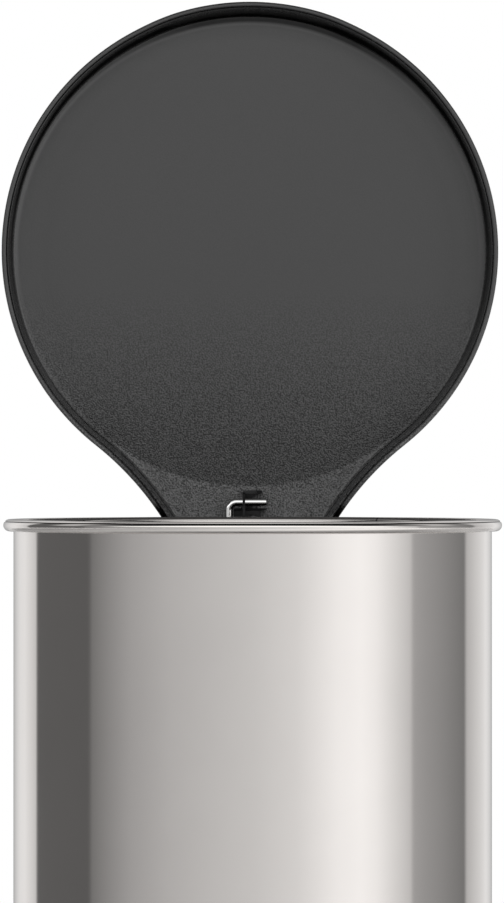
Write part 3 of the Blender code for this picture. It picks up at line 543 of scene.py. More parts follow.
# a fine groove runs round the outer shoulder of the bead
groove = [(43.6, 0.0), (43.3, 0.06), (42.4, 0.42), (40.5, 0.50), (37.2, 0.52), (34.0, 0.50), (32.1, 0.42), (31.2, 0.06),
          (30.9, 0.0)]
bead = [(a, 0.0) for a in turn if a > 44.4 or a < 30.0] + groove
for a, cut in sorted(bead, reverse=True):
    t = T_BEAD - cut
    prof.append((R_BEAD + t * math.cos(math.radians(a)), zc + t * math.sin(math.radians(a))))
prof += [(R_BODY, z) for z in (628, 610, 580, 540, 440, 320, 200, 90, Z_BODY0 + 0.15)]
SCREW_A = math.degrees(math.asin(50.0 / 145.7))
HINGE_SCREWS = [("left_upper", -SCREW_A, -32), ("right_upper", SCREW_A, -32),
                ("left_lower", -SCREW_A, -80), ("right_lower", SCREW_A, -80)]


def around(r, deg, z):
    a = math.radians(deg)
    return (r * math.sin(a), r * math.cos(a), z)


def holes():
    return [('DIFFERENCE', rod_me("hole", 2.3, around(136, deg, Z_RIM + dz), around(152, deg, Z_RIM + dz), 32))
            for _, deg, dz in HINGE_SCREWS]


slot_me = prism("slot", [(ROD_X + x, z + Z_RIM - 70) for x, z in round_rect(9, 40, 4.2, 8)], 'XZ', 130, 158)
# the sheet's butt seam shows as a nick in the bead's inner shoulder
nick = prism("nick", sector(142.4, 145.6, 0.15, 1), 'XY', Z_RIM - 3.4, Z_RIM + 0.5)
nick.transform(Matrix.Rotation(math.radians(-33.5), 4, 'Z'))
body_me = joined("steel_body_fine", lathe("steel_body_fine", prof, 300),
                 [('DIFFERENCE', slot_me), ('DIFFERENCE', nick)] + holes())
piece("steel_body_fine", body_me, ["steel_body"], "bin", m_body, sharp=40)

# ---- base -------------------------------------------------------------------
ring_prof = round2d([(R_BODY + GAP, RING_Z1), (R_BODY + GAP, Z_BODY0 - GAP), (RING_IN, Z_BODY0 - GAP),
                     (RING_IN, 6.0), (136.0, 6.0), (136.0, RING_Z0), (RING_R, RING_Z0), (RING_R, RING_Z1)],
                    [0.5, 0.2, 0.4, 0.3, 0.4, 0.4, 2.4, 1.4], 5)
ring_me = joined("base_ring_fine", lathe("base_ring_fine", ring_prof, 240),
                 [('DIFFERENCE', prism("notch", round2d([(-14.5, -6), (14.5, -6), (14.5, 33), (-14.5, 33)],
                                                       [0, 0, 3.5, 3.5], 6), 'XZ', -160, -120))])
piece("base_ring_fine", ring_me, ["base_ring"], "bin", m_ring, bev=0.35, bev_segs=2, bev_angle=50)

PIV_SCREWS = [("left_front", -24, -34), ("left_rear", -24, -16),
              ("right_front", 24, -34), ("right_rear", 24, -16)]
plate_me = lathe("base_plate_fine", [(0, 6.3), (RING_IN - 0.6, 6.3), (RING_IN - 0.3, 6.6), (RING_IN - 0.3, 9.0),
                                     (RING_IN - 0.6, 9.3), (0, 9.3)], 180, closed=False)
cuts = [('DIFFERENCE', box_me("front", -14.5, 14.5, -150, -100, 0, 20)),
        ('DIFFERENCE', prism("rear", round_rect(34, 68, 5, 8, -3, 100), 'XY', 0, 20))]
for _, x, y in PIV_SCREWS:
    cuts.append(('DIFFERENCE', rod_me("hole", 2.3, (x, y, 0), (x, y, 20), 32)))
# stiffening ribs over the plate
ribs = []
for k in range(6):
    a = math.radians(60 * k)
    rib = box_me("rib", 48, 128, -1.0, 1.0, 8.6, 12.4)
    rib.transform(Matrix.Rotation(a, 4, 'Z'))
    ribs.append(('UNION', rib))
plate_me = joined("base_plate_fine", plate_me, ribs + cuts)
piece("base_plate_fine", plate_me, ["base_plate"], "bin", m_plate)

foot_prof = [(0, 3.7)] + round2d([(7.0, 3.7), (7.0, 0.0), (0.0, 0.0), (0.0, 3.7)], [0.5, 1.1, 0, 0], 6)[:-1]
for tag, sx, sy in (("front_left", -1, -1), ("front_right", 1, -1), ("rear_left", -1, 1), ("rear_right", 1, 1)):
    me = lathe("foot_" + tag + "_fine", [(0, 3.7), (6.3, 3.7), (6.7, 3.55), (6.95, 3.2), (7.0, 2.8), (7.0, 1.0),
                                         (6.85, 0.5), (6.5, 0.15), (6.0, 0.0), (3.2, 0.0), (3.0, 0.4), (0, 0.4)],
               64, closed=False)
    me.transform(Matrix.Translation((sx * 97.6 * MM, sy * 97.6 * MM, 0)))
    piece("foot_" + tag + "_fine", me, ["foot_" + tag], "bin", m_foot)

# ---- pedal ------------------------------------------------------------------
bar = [(118, 29.6), (60, 26), (-25, 22), (-120, 15), (-150, 12.3), (-190, 12.3)]
low = [(y, z - LEVER_T) for y, z in reversed(bar)]
bar_pts = round2d(bar + low, [1.2, 20, 20, 20, 14, 1.2, 1.2, 14, 20, 20, 20, 1.2], 6)
lever_base = temp_object(prism("bar", bar_pts, 'YZ', -LEVER_X, LEVER_X))
b = lever_base.modifiers.new("edge", 'BEVEL')
b.width, b.segments, b.limit_method, b.angle_limit = 0.7 * MM, 3, 'ANGLE', math.radians(50)
lever_me = joined("pedal_lever_fine", baked(lever_base), [
    ('UNION', rod_me("knuckle", 6.5, (-11.7, PIV_Y, PIV_Z), (11.7, PIV_Y, PIV_Z), 64)),
    ('UNION', prism("ear", round2d([(96, 25.5), (131, 25.3), (133.5, 28), (133.5, 43.5), (114, 43.5), (100, 31.2)],
                                   [0, 3, 1, 4, 5, 0], 6), 'YZ', -6.0, -3.0)),
    ('DIFFERENCE', rod_me("bore", 2.8, (-20, PIV_Y, PIV_Z), (20, PIV_Y, PIV_Z), 48)),
    ('DIFFERENCE', prism("eye", round_rect(11.6, 9.0, 4.0, 8, 124.9, 35.4), 'YZ', -10, 1)),
    ('DIFFERENCE', rod_me("th", 2.1, (-7, -176, 0), (-7, -176, 15), 32)),
    ('DIFFERENCE', rod_me("th", 2.1, (7, -176, 0), (7, -176, 15), 32)),
])
piece("pedal_lever_fine", lever_me, ["pedal_lever"], "pedal", m_lever)

tread_base = temp_object(prism("tread", round_rect(92, 42, 9, 14, 0, TIP_Y + 21), 'XY', 12.6, 14.9))
b = tread_base.modifiers.new("edge", 'BEVEL')
b.width, b.segments, b.limit_method, b.angle_limit = 0.8 * MM, 4, 'ANGLE', math.radians(50)
tread_me = joined("pedal_tread_fine", baked(tread_base), [
    ('DIFFERENCE', rod_me("th", 2.1, (x, -176, 0), (x, -176, 14.95), 32)) for x in (-7.0, 7.0)])
piece("pedal_tread_fine", tread_me, ["pedal_tread"], "pedal", m_tread)

pad = [(41, 15.2), (41, 17.2)]
pitch = 80.0 / 11
for k in range(11):
    x = 40 - k * pitch
    pad += [(x, 17.2), (x - pitch * 0.18, 18.6), (x - pitch * 0.62, 18.6), (x - pitch * 0.8, 17.2)]
pad += [(-41, 17.2), (-41, 15.2)]
pad_me = prism("pedal_pad_fine", round2d(pad, 0.45, 4), 'XZ', TIP_Y + 4.5, TIP_Y + 37.5)
piece("pedal_pad_fine", pad_me, ["pedal_pad"], "pedal", m_pad, bev=0.5, bev_segs=3, bev_angle=60)

pin_me = rod_me("pedal_pivot_pin_fine", 2.5, (-18.5, PIV_Y, PIV_Z), (18.5, PIV_Y, PIV_Z))
piece("pedal_pivot_pin_fine", pin_me, ["pedal_pivot_pin"], "bin", m_pin, bev=0.5)

for side, s in (("left", -1), ("right", 1)):
    up = prism("up", round2d([(-40, 9.6), (-10, 9.6), (-12, 15), (-18.5, 25.5), (-25, 28.6), (-31.5, 25.5), (-38, 15)],
                             [0, 0, 3, 6, 9, 6, 3], 8), 'YZ', *sorted((s * 12.5, s * 15.5)))
    xs = sorted((s * 13.0, s * 31.0))
    ops = [('UNION', prism("shoe", round_rect(18.0, 30.4, 2.5, 6, sum(xs) / 2, PIV_Y), 'XY', 9.62, 12.2)),
           ('DIFFERENCE', rod_me("bore", 2.8, (s * 10, PIV_Y, PIV_Z), (s * 20, PIV_Y, PIV_Z), 48))]
    for _, x, y in PIV_SCREWS:
        if x * s > 0:
            ops.append(('DIFFERENCE', rod_me("hole", 2.3, (x, y, 5), (x, y, 20), 32)))
    br_me = joined("pivot_bracket_" + side + "_fine", up, ops)
    piece("pivot_bracket_" + side + "_fine", br_me, ["pivot_bracket_" + side], "bin", m_zinc,
          bev=0.35, bev_segs=2, bev_angle=50)


def screw_me(name, head_r, head_h, shank_r, shank_l):
    """Pan-head screw with a cross recess, head seat at z = 0."""
    prof_s = [(0, head_h)]
    for k in range(9):
        t = math.radians(90 * k / 8)
        prof_s.append((head_r * (0.35 + 0.65 * math.sin(t)), head_h * (0.3 + 0.7 * math.cos(t))))
    prof_s += [(head_r, head_h * 0.12), (head_r - 0.15, 0), (shank_r, 0)]
    n_th = max(3, int((shank_l - shank_r) / 0.9))
    for k in range(n_th):
        z = -0.6 - k * 0.9
        if z < -shank_l + shank_r * 0.6:
            break
        prof_s += [(shank_r, z), (shank_r * 0.86, z - 0.45)]
    prof_s += [(shank_r * 0.5, -shank_l), (0, -shank_l)]
    me = lathe(name, prof_s, 48, closed=False)
    w, l = head_r * 0.13, head_r * 0.56
    c1 = box_me("c", -w, w, -l, l, head_h * 0.42, head_h * 1.6)
    c2 = box_me("c", -l, l, -w, w, head_h * 0.42, head_h * 1.6)
    return joined(name, me, [('DIFFERENCE', c1), ('DIFFERENCE', c2)])


piv_screw = screw_me("pivot_screw_fine", 3.6, 2.2, 1.9, 7.4)
for tag, x, y in PIV_SCREWS:
    me = piv_screw.copy()
    me.transform(Matrix.Translation((x * MM, y * MM, 12.5 * MM)) @ Matrix.Rotation(0.4 * x + y, 4, 'Z'))
    piece("pivot_screw_" + tag + "_fine", me, ["pivot_screw_" + tag], "bin", m_screw)
tread_screw = screw_me("tread_screw_fine", 3.0, 1.8, 1.7, 5.0)
for tag, x in (("left", -7.0), ("right", 7.0)):
    me = tread_screw.copy()
    me.transform(Matrix.Translation((x * MM, -176 * MM, 8.0 * MM)) @ Matrix.Rotation(math.pi, 4, 'X')
                 @ Matrix.Rotation(x, 4, 'Z'))
    piece("tread_screw_" + tag + "_fine", me, ["tread_screw_" + tag], "pedal", m_screw)

# ---- lift rod ---------------------------------------------------------------
P = (0.0, P_OPEN[0], Z_RIM + P_OPEN[1])
path = fillet([(10.7, P[1], P[2]), (ROD_X, P[1], P[2]), (ROD_X, P[1], Z_RIM - 38),
               (ROD_X, ROD_IN_Y, Z_RIM - 38 - (P[1] - ROD_IN_Y)), (ROD_X, FOOT_Y, FOOT_Z), (2.0, FOOT_Y, FOOT_Z)],
              [5.0, 10.0, 10.0, 5.0], 20)


def tube(name, pts, r, n=40, chamfer=0.35):
    """Round wire along a polyline with turned ends."""
    fr = []
    d0 = (pts[1] - pts[0]).normalized()
    up = Vector((0, 0, 1)) if abs(d0.z) < 0.9 else Vector((0, 1, 0))
    u = d0.cross(up).normalized()
    for i, p in enumerate(pts):
        if i == 0:
            d = d0
        elif i == len(pts) - 1:
            d = (pts[-1] - pts[-2]).normalized()
        else:
            d = ((pts[i + 1] - p).normalized() + (p - pts[i - 1]).normalized()).normalized()
        u = (u - d * u.dot(d)).normalized()
        fr.append((p, d, u.copy(), d.cross(u)))
    rings = []
    p, d, u, v = fr[0]
    rings.append((p, u, v, r - chamfer))
    rings.append((p + d * chamfer, u, v, r))
    for q in fr[1:-1]:
        rings.append((q[0], q[2], q[3], r))
    p, d, u, v = fr[-1]
    rings.append((p - d * chamfer, u, v, r))
    rings.append((p, u, v, r - chamfer))
    bm = bmesh.new()
    loops = []
    for c, u, v, rr in rings:
        loops.append([bm.verts.new((c + (u * math.cos(math.tau * k / n) + v * math.sin(math.tau * k / n)) * rr) * MM)
                      for k in range(n)])
    for a, b2 in zip(loops, loops[1:]):
        for k in range(n):
            j = (k + 1) % n
            bm.faces.new((a[k], a[j], b2[j], b2[k]))
    bm.faces.new(loops[0])
    bm.faces.new(loops[-1])
    bmesh.ops.recalc_face_normals(bm, faces=bm.faces)
    me = bpy.data.meshes.new(name)
    bm.to_mesh(me)
    bm.free()
    return me


piece("lift_rod_fine", tube("lift_rod_fine", path, ROD_R), ["lift_rod"], "rod", m_rod)


# ---- lid --------------------------------------------------------------------
def outline(d, n_round=200, n_neck=36, n_corner=8, n_end=10, corner=4.0):
    """Keyhole outline inset by d: (x, v), v from the lid centre toward the hinge."""
    r, rc = LID_R - d, LID_RC + d
    cx, cv = (LID_R + LID_RC) * math.sin(LID_PSI), (LID_R + LID_RC) * math.cos(LID_PSI)
    ve = LID_V_END - d

    def side(v):
        return cx - math.sqrt(rc * rc - (cv - v) ** 2)
    t_end = math.acos((cv - (ve - corner)) / rc)
    pts = []
    a, b, c = (side(ve - corner), ve - corner), (side(ve), ve), (side(ve) - corner, ve)
    for k in range(n_corner):
        u = 1 - k / n_corner
        pts.append(tuple((1 - u) ** 2 * a[i] + 2 * u * (1 - u) * b[i] + u * u * c[i] for i in (0, 1)))
    for k in range(n_neck):
        t = t_end + (LID_PSI - t_end) * k / n_neck
        pts.append((cx - rc * math.sin(t), cv - rc * math.cos(t)))
    for k in range(n_round // 2 + 1):
        t = LID_PSI + (math.pi - LID_PSI) * k / (n_round // 2)
        u = min(1.0, max(0.0, (28.0 - math.degrees(math.pi - t)) / 12.0))
        q = r + FINGER * u * u * (3 - 2 * u)
        pts.append((q * math.sin(t), q * math.cos(t)))
    pts += [(-x, v) for x, v in reversed(pts[:-1])]
    for k in range(1, n_end):
        pts.append((-c[0] + 2 * c[0] * k / n_end, ve))
    return pts


def lid_loft(name, rings):
    bm = bmesh.new()
    loops = [[bm.verts.new((x * MM, (v - LID_V_AXIS) * MM, (w - H_Z) * MM)) for x, v, w in ring] for ring in rings]
    n = len(loops[0])
    for a, b in zip(loops, loops[1:]):
        for i in range(n):
            j = (i + 1) % n
            bm.faces.new((a[i], a[j], b[j], b[i]))
    for loop in (loops[0], loops[-1]):
        c = bm.verts.new((0.0, -LID_V_AXIS * MM, loop[0].co.z))
        for i in range(n):
            bm.faces.new((loop[i], loop[(i + 1) % n], c))
    bmesh.ops.recalc_face_normals(bm, faces=bm.faces)
    me = bpy.data.meshes.new(name)
    bm.to_mesh(me)
    bm.free()
    return me


def at(d, w, fn=None):
    return [(x, v, w + (fn(x, v) if fn else 0.0)) for x, v in outline(d)]


def scaled(ring, s, w):
    return [(x * s, v * s, w) for x, v, _ in ring]


def domed(ring, s, base, top):
    """Ring scaled by s, raised to a crown over the lid's round part; the neck stays level."""
    out = []
    for x, v, _ in ring:
        q = min(1.0, math.hypot(x, v) * s / (LID_R - 12.0))
        out.append((x * s, v * s, base + (top - base) * (1 - q * q) ** 2))
    return out


def shoulder(t, d0, d1, w1):
    a = math.radians(t)
    return (d0 + (d1 - d0) * (1 - math.cos(a)), w1 * math.sin(a))


outer_skin = [shoulder(t, 0.35, 12.0, 11.2) for t in range(90, -1, -6)]
inner_skin = [shoulder(t, 1.15, 12.0, 10.4) for t in range(0, 91, 6)]
S_TOP = [0.06, 0.15, 0.25, 0.35, 0.45, 0.55, 0.64, 0.72, 0.79, 0.85, 0.90, 0.94, 0.97, 0.99]
edge_o = at(*outer_skin[0])
edge_i = at(*inner_skin[-1])
cover_rings = [domed(edge_o, s, 11.2, 15.4) for s in S_TOP]
cover_rings += [at(d, w) for d, w in outer_skin]
cover_rings += [at(0.35, -6.0), at(0.35, -13.0), at(0.35, -18.3), at(0.45, -18.5), at(1.05, -18.5), at(1.15, -18.3),
                at(1.15, -13.0), at(1.15, -6.0)]
cover_rings += [at(d, w) for d, w in inner_skin]
cover_rings += [domed(edge_i, s, 10.4, 14.6) for s in reversed(S_TOP)]
y_end = LID_V_END - LID_V_AXIS
cover_me = joined("lid_cover_fine", lid_loft("lid_cover_fine", cover_rings), [
    ('DIFFERENCE', box_me("end", -43, 43, y_end - 14, y_end + 6, -20, 2.0 - H_Z))])
cover_me.transform(LID_M)
piece("lid_cover_fine", cover_me, ["lid_cover"], "lid", m_cover, sharp=50)


def facet(x, v):
    return -FACET * max(0.0, math.hypot(x, v) - R_CREASE)


def crease(ring, w):
    out = []
    for x, v, _ in ring:
        s = min(0.985, R_CREASE / math.hypot(x, v))
        out.append((x * s, v * s, w))
    return out


wp = W_PANEL
RF = 2.3                                     # concave fillet at the foot of the wall
low_skin = [(5.75 + RF - RF * math.cos(math.radians(a)), wp - RF + RF * math.sin(math.radians(a)))
            for a in range(90, -1, -10)]
top_skin = [(7.4, wp + 2.0), (6.4, wp + 1.9), (5.4, wp + 1.4), (4.7, wp + 0.6), (4.3, wp - 0.5)]
edge_t = at(*top_skin[0], facet)
edge_l = at(*low_skin[0], facet)
liner_rings = [scaled(crease(edge_t, 0), s, wp + 2.0) for s in (0.35, 0.7, 0.9)]
liner_rings += [crease(edge_t, wp + 2.0)]
liner_rings += [at(d, w, facet) for d, w in top_skin]
liner_rings += [at(4.2, -2.0), at(4.2, -17.2), at(1.5, -17.2), at(1.5, -18.85), at(0.45, -18.85)]
lip = [(1.62 - 1.62 * math.cos(math.radians(a)), -20.38 - 1.62 * math.sin(math.radians(a)))
       for a in range(-40, 151, 10)]
liner_rings += [at(d, w) for d, w in lip]
liner_rings += [at(3.22, -20.7), at(3.36, -20.4), at(3.5, -20.6), at(3.6, -21.2), at(3.74, -21.36), at(3.9, -21.25)]
liner_rings += [at(4.6, -20.3), at(5.35, -18.9), at(5.5, -18.6), at(5.58, -18.2)]
liner_rings += [at(5.65, -10.0), at(5.74, -2.4)]
liner_rings += [at(d, w, facet) for d, w in reversed(low_skin)]
liner_rings += [crease(edge_l, wp)]
liner_rings += [scaled(crease(edge_l, 0), s, wp) for s in (0.9, 0.7, 0.35)]
ops = [('DIFFERENCE', box_me("end", -41.5, 41.5, -4.0, y_end + 6, -20, 0.4 - H_Z))]
for s in (-1, 1):
    pts = [(s * 40.4, -5.5), (s * 50.2, -5.5), (s * 43.7, 5.5), (s * 40.4, 5.5)]
    ops.append(('UNION', prism("boss", pts, 'XY', -5.5, 8.6)))
for s in (-1, 1):
    ops.append(('DIFFERENCE', rod_me("bore", PIN_R + GAP, (s * 36, 0, 0), (s * 46.9, 0, 0), 40)))
liner_me = joined("lid_liner_fine", lid_loft("lid_liner_fine", liner_rings), ops)
liner_me.transform(LID_M)
piece("lid_liner_fine", liner_me, ["lid_liner"], "lid", m_liner, sharp=40)


# ---- rod clip ---------------------------------------------------------------
def panel_y(z):
    v = LID_V_AXIS + H_Z - z
    return H_Y - H_Z + W_PANEL - FACET * max(0.0, v - R_CREASE)


def up_z(pts):
    return [(y, z + Z_RIM) for y, z in pts]


web = [(164.6, 15.5), (panel_y(15.5) - GAP, 15.5), (panel_y(-5) - GAP, -5.0), (164.6, -5.0)]
clip_me = prism("rod_clip_fine", round2d(up_z(web), [3.0, 0, 0, 2.0], 8), 'YZ', -4.7, -3.1)
back = [(panel_y(14.0) - 2.6, 14.0), (panel_y(14.0) - GAP - 0.05, 14.0), (panel_y(-4.8) - GAP - 0.05, -4.8),
        (panel_y(-4.8) - 2.6, -4.8)]
seat = [(174.2, 4.3), (panel_y(4.3) - GAP - 0.1, 4.3), (panel_y(-4.6) - GAP - 0.1, -4.6), (174.2, -4.6)]
shelf = [(173.2, 5.2), (panel_y(5.2) - GAP - 0.15, 5.2), (panel_y(4.2) - GAP - 0.15, 4.2), (173.2, 4.2)]
flag = [(-4.3, 16.7), (7.8, 16.7), (8.2, 15.6), (7.6, 14.6), (6.1, 14.2), (2.2, 12.6), (-4.3, 12.6)]
gusset = [(-4.0, 14.6), (4.4, 14.6), (2.1, 12.6), (1.9, 11.9), (-4.0, 11.9)]
tooth = [(4.2, 16.6), (7.6, 16.6), (8.0, 15.8), (7.3, 14.7), (5.4, 14.5), (4.5, 15.2)]


def xz(pts):
    return [(x, z + Z_RIM) for x, z in pts]


clip_me = joined("rod_clip_fine", clip_me, [
    ('UNION', prism("back", up_z(back), 'YZ', -4.4, 1.6)),
    ('UNION', prism("seat", round2d(up_z(seat), [1.2, 0, 0, 1.6], 6), 'YZ', -10.3, 6.9)),
    ('UNION', prism("shelf", round2d(up_z(shelf), [0.4, 0, 0, 0.4], 4), 'YZ', -10.4, 10.4)),
    ('UNION', prism("flag", round2d(xz(flag), [0, 0.8, 0.5, 0.6, 1.0, 1.0, 0], 5), 'XZ', 178.4, 183.8)),
    ('UNION', prism("gusset", round2d(xz(gusset), [0, 0.6, 1.0, 0.5, 0], 5), 'XZ', 172.6, 182.6)),
    ('UNION', prism("tooth", round2d(xz(tooth), [0.3, 0.5, 0.5, 0.5, 0.5, 0.5], 4), 'XZ', 173.4, 180.0)),
    ('DIFFERENCE', rod_me("bore", ROD_R + GAP, (-16, P[1], P[2]), (14, P[1], P[2]), 48)),
    ('DIFFERENCE', rod_me("hole", 1.9, (2.0, 166, Z_RIM - 1.6), (2.0, 190, Z_RIM - 1.6), 32)),
])
piece("rod_clip_fine", clip_me, ["rod_clip"], "lid", m_clip, bev=0.18, bev_segs=2, bev_angle=50)
cs = screw_me("rod_clip_screw_fine", 2.8, 1.6, 1.6, 9.4)
cs.transform(Matrix.Translation((2.0 * MM, 173.9 * MM, (Z_RIM - 1.6) * MM)) @ Matrix.Rotation(math.radians(90), 4, 'X'))
piece("rod_clip_screw_fine", cs, ["rod_clip_screw"], "lid", m_oxide)

# ---- hinge bracket, backing plate, pins -------------------------------------
HY = H_Y
arc = [(HY + 5.2 * math.cos(math.radians(a)), H_Z + 5.2 * math.sin(math.radians(a))) for a in range(-10, 145, 10)]
side = [(140, -95), (178.0, -95), (HY + 6.5, -87), (HY + 6.5, -16)] + arc + [(163, -10.5), (156, -11.5), (140, -11.5)]
side_r = [0, 9, 9, 1.5] + [0] * len(arc) + [6, 3, 0]
brk = temp_object(prism("bracket", round2d(up_z(side), side_r, 8), 'YZ', -BRK_X, BRK_X))
b = brk.modifiers.new("edge", 'BEVEL')
b.width, b.segments, b.limit_method, b.angle_limit = 2.2 * MM, 4, 'ANGLE', math.radians(50)
wall_cut = rod_me("wall", R_BODY + GAP, (0, 0, Z_RIM - 110), (0, 0, Z_RIM + 12), 300)
brk_me = joined("hinge_bracket_fine", baked(brk), [
    ('UNION', prism("flange", sector(R_BODY + 0.2, R_BODY + 3.3, 23.6), 'XY', Z_RIM - 93, Z_RIM - 14)),
    ('DIFFERENCE', box_me("channel", -(BRK_X - CHEEK), BRK_X - CHEEK, 120, HY + 3.5, Z_RIM - 91.5, Z_RIM + 10)),
    ('DIFFERENCE', box_me("top", -(BRK_X - CHEEK), BRK_X - CHEEK, 168, 190, Z_RIM - 15.0, Z_RIM + 10)),
    ('DIFFERENCE', wall_cut),
    ('DIFFERENCE', rod_me("bore", PIN_R + GAP, (-44, HY, Z_RIM + H_Z), (-28, HY, Z_RIM + H_Z), 40)),
    ('DIFFERENCE', rod_me("bore", PIN_R + GAP, (28, HY, Z_RIM + H_Z), (44, HY, Z_RIM + H_Z), 40)),
] + holes())
piece("hinge_bracket_fine", brk_me, ["hinge_bracket"], "bin", m_brk, bev=0.4, bev_segs=2, bev_angle=60)

for s, x in (("left", -1), ("right", 1)):
    me = rod_me("hinge_pin", PIN_R, (x * 32.4, HY, Z_RIM + H_Z), (x * 46.5, HY, Z_RIM + H_Z))
    piece("hinge_pin_" + s + "_fine", me, ["hinge_pin_" + s], "bin", m_pin, bev=0.4)

back_me = joined("hinge_backing_plate_fine",
                 prism("backing", sector(141.2, R_BODY - T_BODY - GAP, 24.0), 'XY', Z_RIM - 92, Z_RIM - 26),
                 [('DIFFERENCE', box_me("window", -24, 24, 120, 160, Z_RIM - 100, Z_RIM - 42))] + holes())
piece("hinge_backing_plate_fine", back_me, ["hinge_backing_plate"], "bin", m_zinc)

hs = screw_me("hinge_screw_fine", 4.0, 2.4, 2.0, 8.4)
for i, (tag, deg, dz) in enumerate(HINGE_SCREWS):
    me = hs.copy()
    x, y, z = around(R_BODY + 3.3 + 0.35, deg, Z_RIM + dz)
    me.transform(Matrix.Translation((x * MM, y * MM, z * MM)) @ Matrix.Rotation(math.radians(-deg), 4, 'Z')
                 @ Matrix.Rotation(math.radians(-90), 4, 'X') @ Matrix.Rotation(0.5 + 0.7 * i, 4, 'Z'))
    piece("hinge_screw_" + tag + "_fine", me, ["hinge_screw_" + tag], "bin", m_screw)

# ---- bucket, its support and the rod guide ----------------------------------
sup = round2d([(R_BODY - T_BODY - GAP, 632.0), (R_BODY - T_BODY - GAP, 616.0), (141.2, 616.0), (141.2, 628.0),
               (134.0, 629.4), (134.0, 632.0)], [0.3, 0.3, 0.3, 2.0, 0.4, 0.4], 4)
piece("bucket_support_ring_fine", lathe("sup", sup, 240), ["bucket_support_ring"], "bin", m_sup)

bp = [(0, 58.6), (100.0, 58.6), (104.0, 59.2), (106.2, 61.4), (118.6, 628.0), (120.4, 632.6), (122.6, 634.8),
      (139.6, 634.8), (140.6, 632.4), (123.4, 632.4), (121.4, 628.4), (108.4, 59.4), (105.8, 56.0), (0, 56.0)]
bp = [bp[0]] + round2d(bp, [0, 4, 3, 4, 0, 4, 4, 0.9, 0.5, 1.5, 4, 3, 3, 0], 6)[1:-1] + [bp[-1]]
bucket_me = joined("inner_bucket_fine", lathe("inner_bucket_fine", bp, 240, closed=False), [
    ('DIFFERENCE', prism("grip", round_rect(8.4, 62, 4.0, 10, x * 130.0, 0), 'XY', 630.5, 640)) for x in (-1, 1)])
piece("inner_bucket_fine", bucket_me, ["inner_bucket"], "bin", m_buck, sharp=35)

gp = [(ROD_X - 5.4, 147), (ROD_X - 5.4, 119.5), (ROD_X - 3.1, 119.5), (ROD_X - 3.1, 136.5),
      (ROD_X + 3.1, 136.5), (ROD_X + 3.1, 119.5), (ROD_X + 5.4, 119.5), (ROD_X + 5.4, 147)]
hull = lathe("hull", [(R_BODY - T_BODY - GAP, 120.0), (R_BODY - T_BODY - GAP, 180.0), (170.0, 180.0), (170.0, 120.0)], 300)
guide_me = joined("rod_guide_fine", prism("guide", round2d(gp, [0, 1, 1, 1.5, 1.5, 1, 1, 0], 5), 'XY', 138, 162),
                  [('DIFFERENCE', hull)])
piece("rod_guide_fine", guide_me, ["rod_guide"], "bin", m_guide, bev=0.3, bev_segs=2, bev_angle=60)

# ---- stage ------------------------------------------------------------------
bpy.ops.mesh.primitive_circle_add(vertices=128, radius=3.4, fill_type='NGON', location=(0, 0, 0))
floor = bpy.context.object
floor.name = "floor"
nf = Nodes("stage_floor")
nf.put(Roughness=0.85)
nf.into(nf.ramp(nf.noise(1.5, 2.0, 0.5), [(0.3, (0.80, 0.80, 0.80)), (0.7, (0.83, 0.83, 0.83))]), "Base Color")
fx, fy, _ = nf.xyz()
far = nf.math('SQRT', nf.math('ADD', nf.math('MULTIPLY', fx, fx), nf.math('MULTIPLY', fy, fy)))
# painted shade on the floor's glow, which only reflections see: darker near the bin and in a patch to its right,
# lighter toward the front right
away = nf.span(far, 0.0, 1.0, 0.27, 0.56)
lit = nf.math('MULTIPLY', nf.span(fx, 0.16, 1.00, -1.25, 0.85), nf.span(fy, 1.0, 0.30, -0.4, 0.5))
sx, sy = nf.math('MULTIPLY', nf.math('SUBTRACT', fx, 0.42), 0.6), nf.math('ADD', fy, 0.02)
clear = nf.span(nf.math('SQRT', nf.math('ADD', nf.math('MULTIPLY', sx, sx), nf.math('MULTIPLY', sy, sy))), 0.05, 1.0, 0.15, 0.75)
nf.into(nf.span(far, 1.0, 0.0, 1.9, 3.3), "Alpha")
glow = nf.math('MULTIPLY', nf.math('MULTIPLY', away, clear), lit)
# seen directly it is an even pale sweep that runs into the white surroundings
direct = nf.t.nodes.new("ShaderNodeLightPath").outputs["Is Camera Ray"]
sweep = nf.math('MULTIPLY', direct, nf.span(far, 0.34, 1.0, 0.7, 3.1))
nf.into(nf.math('ADD', nf.math('MULTIPLY', glow, nf.math('SUBTRACT', 1.0, direct)), sweep), "Emission Strength")
nf.put(Emission_Color=(1.0, 0.995, 0.985, 1.0))
floor.data.materials.append(nf.m)

# camera: level with the upper part, 2.8 m from the body's axis
CAM_D, CAM_AZ, F_PX = 2.8, math.radians(0.587), 4648.0
cam_data = bpy.data.cameras.new("camera")
cam = bpy.data.objects.new("camera", cam_data)
bpy.context.scene.collection.objects.link(cam)
cam_data.sensor_fit = 'AUTO'
cam_data.sensor_width = 36.0
cam_data.lens = F_PX / 903.0 * 36.0
cam_data.clip_start, cam_data.clip_end = 0.05, 60.0
cam.location = (-CAM_D * math.sin(CAM_AZ), -CAM_D * math.cos(CAM_AZ), (Z_RIM - T_BEAD + 31.0) * MM)
pitch_up = math.atan((473.6 - 451.5) / F_PX)
yaw = -CAM_AZ + math.atan((252.65 - 252.0) / F_PX)
cam.rotation_euler = (math.radians(90) + pitch_up, 0, yaw)
bpy.context.scene.camera = cam

# soft studio surroundings: brightness by bearing (0 toward the camera) and height
world = bpy.data.worlds.new("studio")
bpy.context.scene.world = world
world.use_nodes = True
wt = world.node_tree
wt.nodes.clear()


def wnode(kind, **kw):
    n = wt.nodes.new(kind)
    for k, v in kw.items():
        setattr(n, k, v)
    return n


def wmath(op, a, b=None, clamp=False):
    n = wnode("ShaderNodeMath", operation=op, use_clamp=clamp)
    for i, v in enumerate((a, b)):
        if v is None:
            continue
        if isinstance(v, (int, float)):
            n.inputs[i].default_value = v
        else:
            wt.links.new(v, n.inputs[i])
    return n.outputs[0]


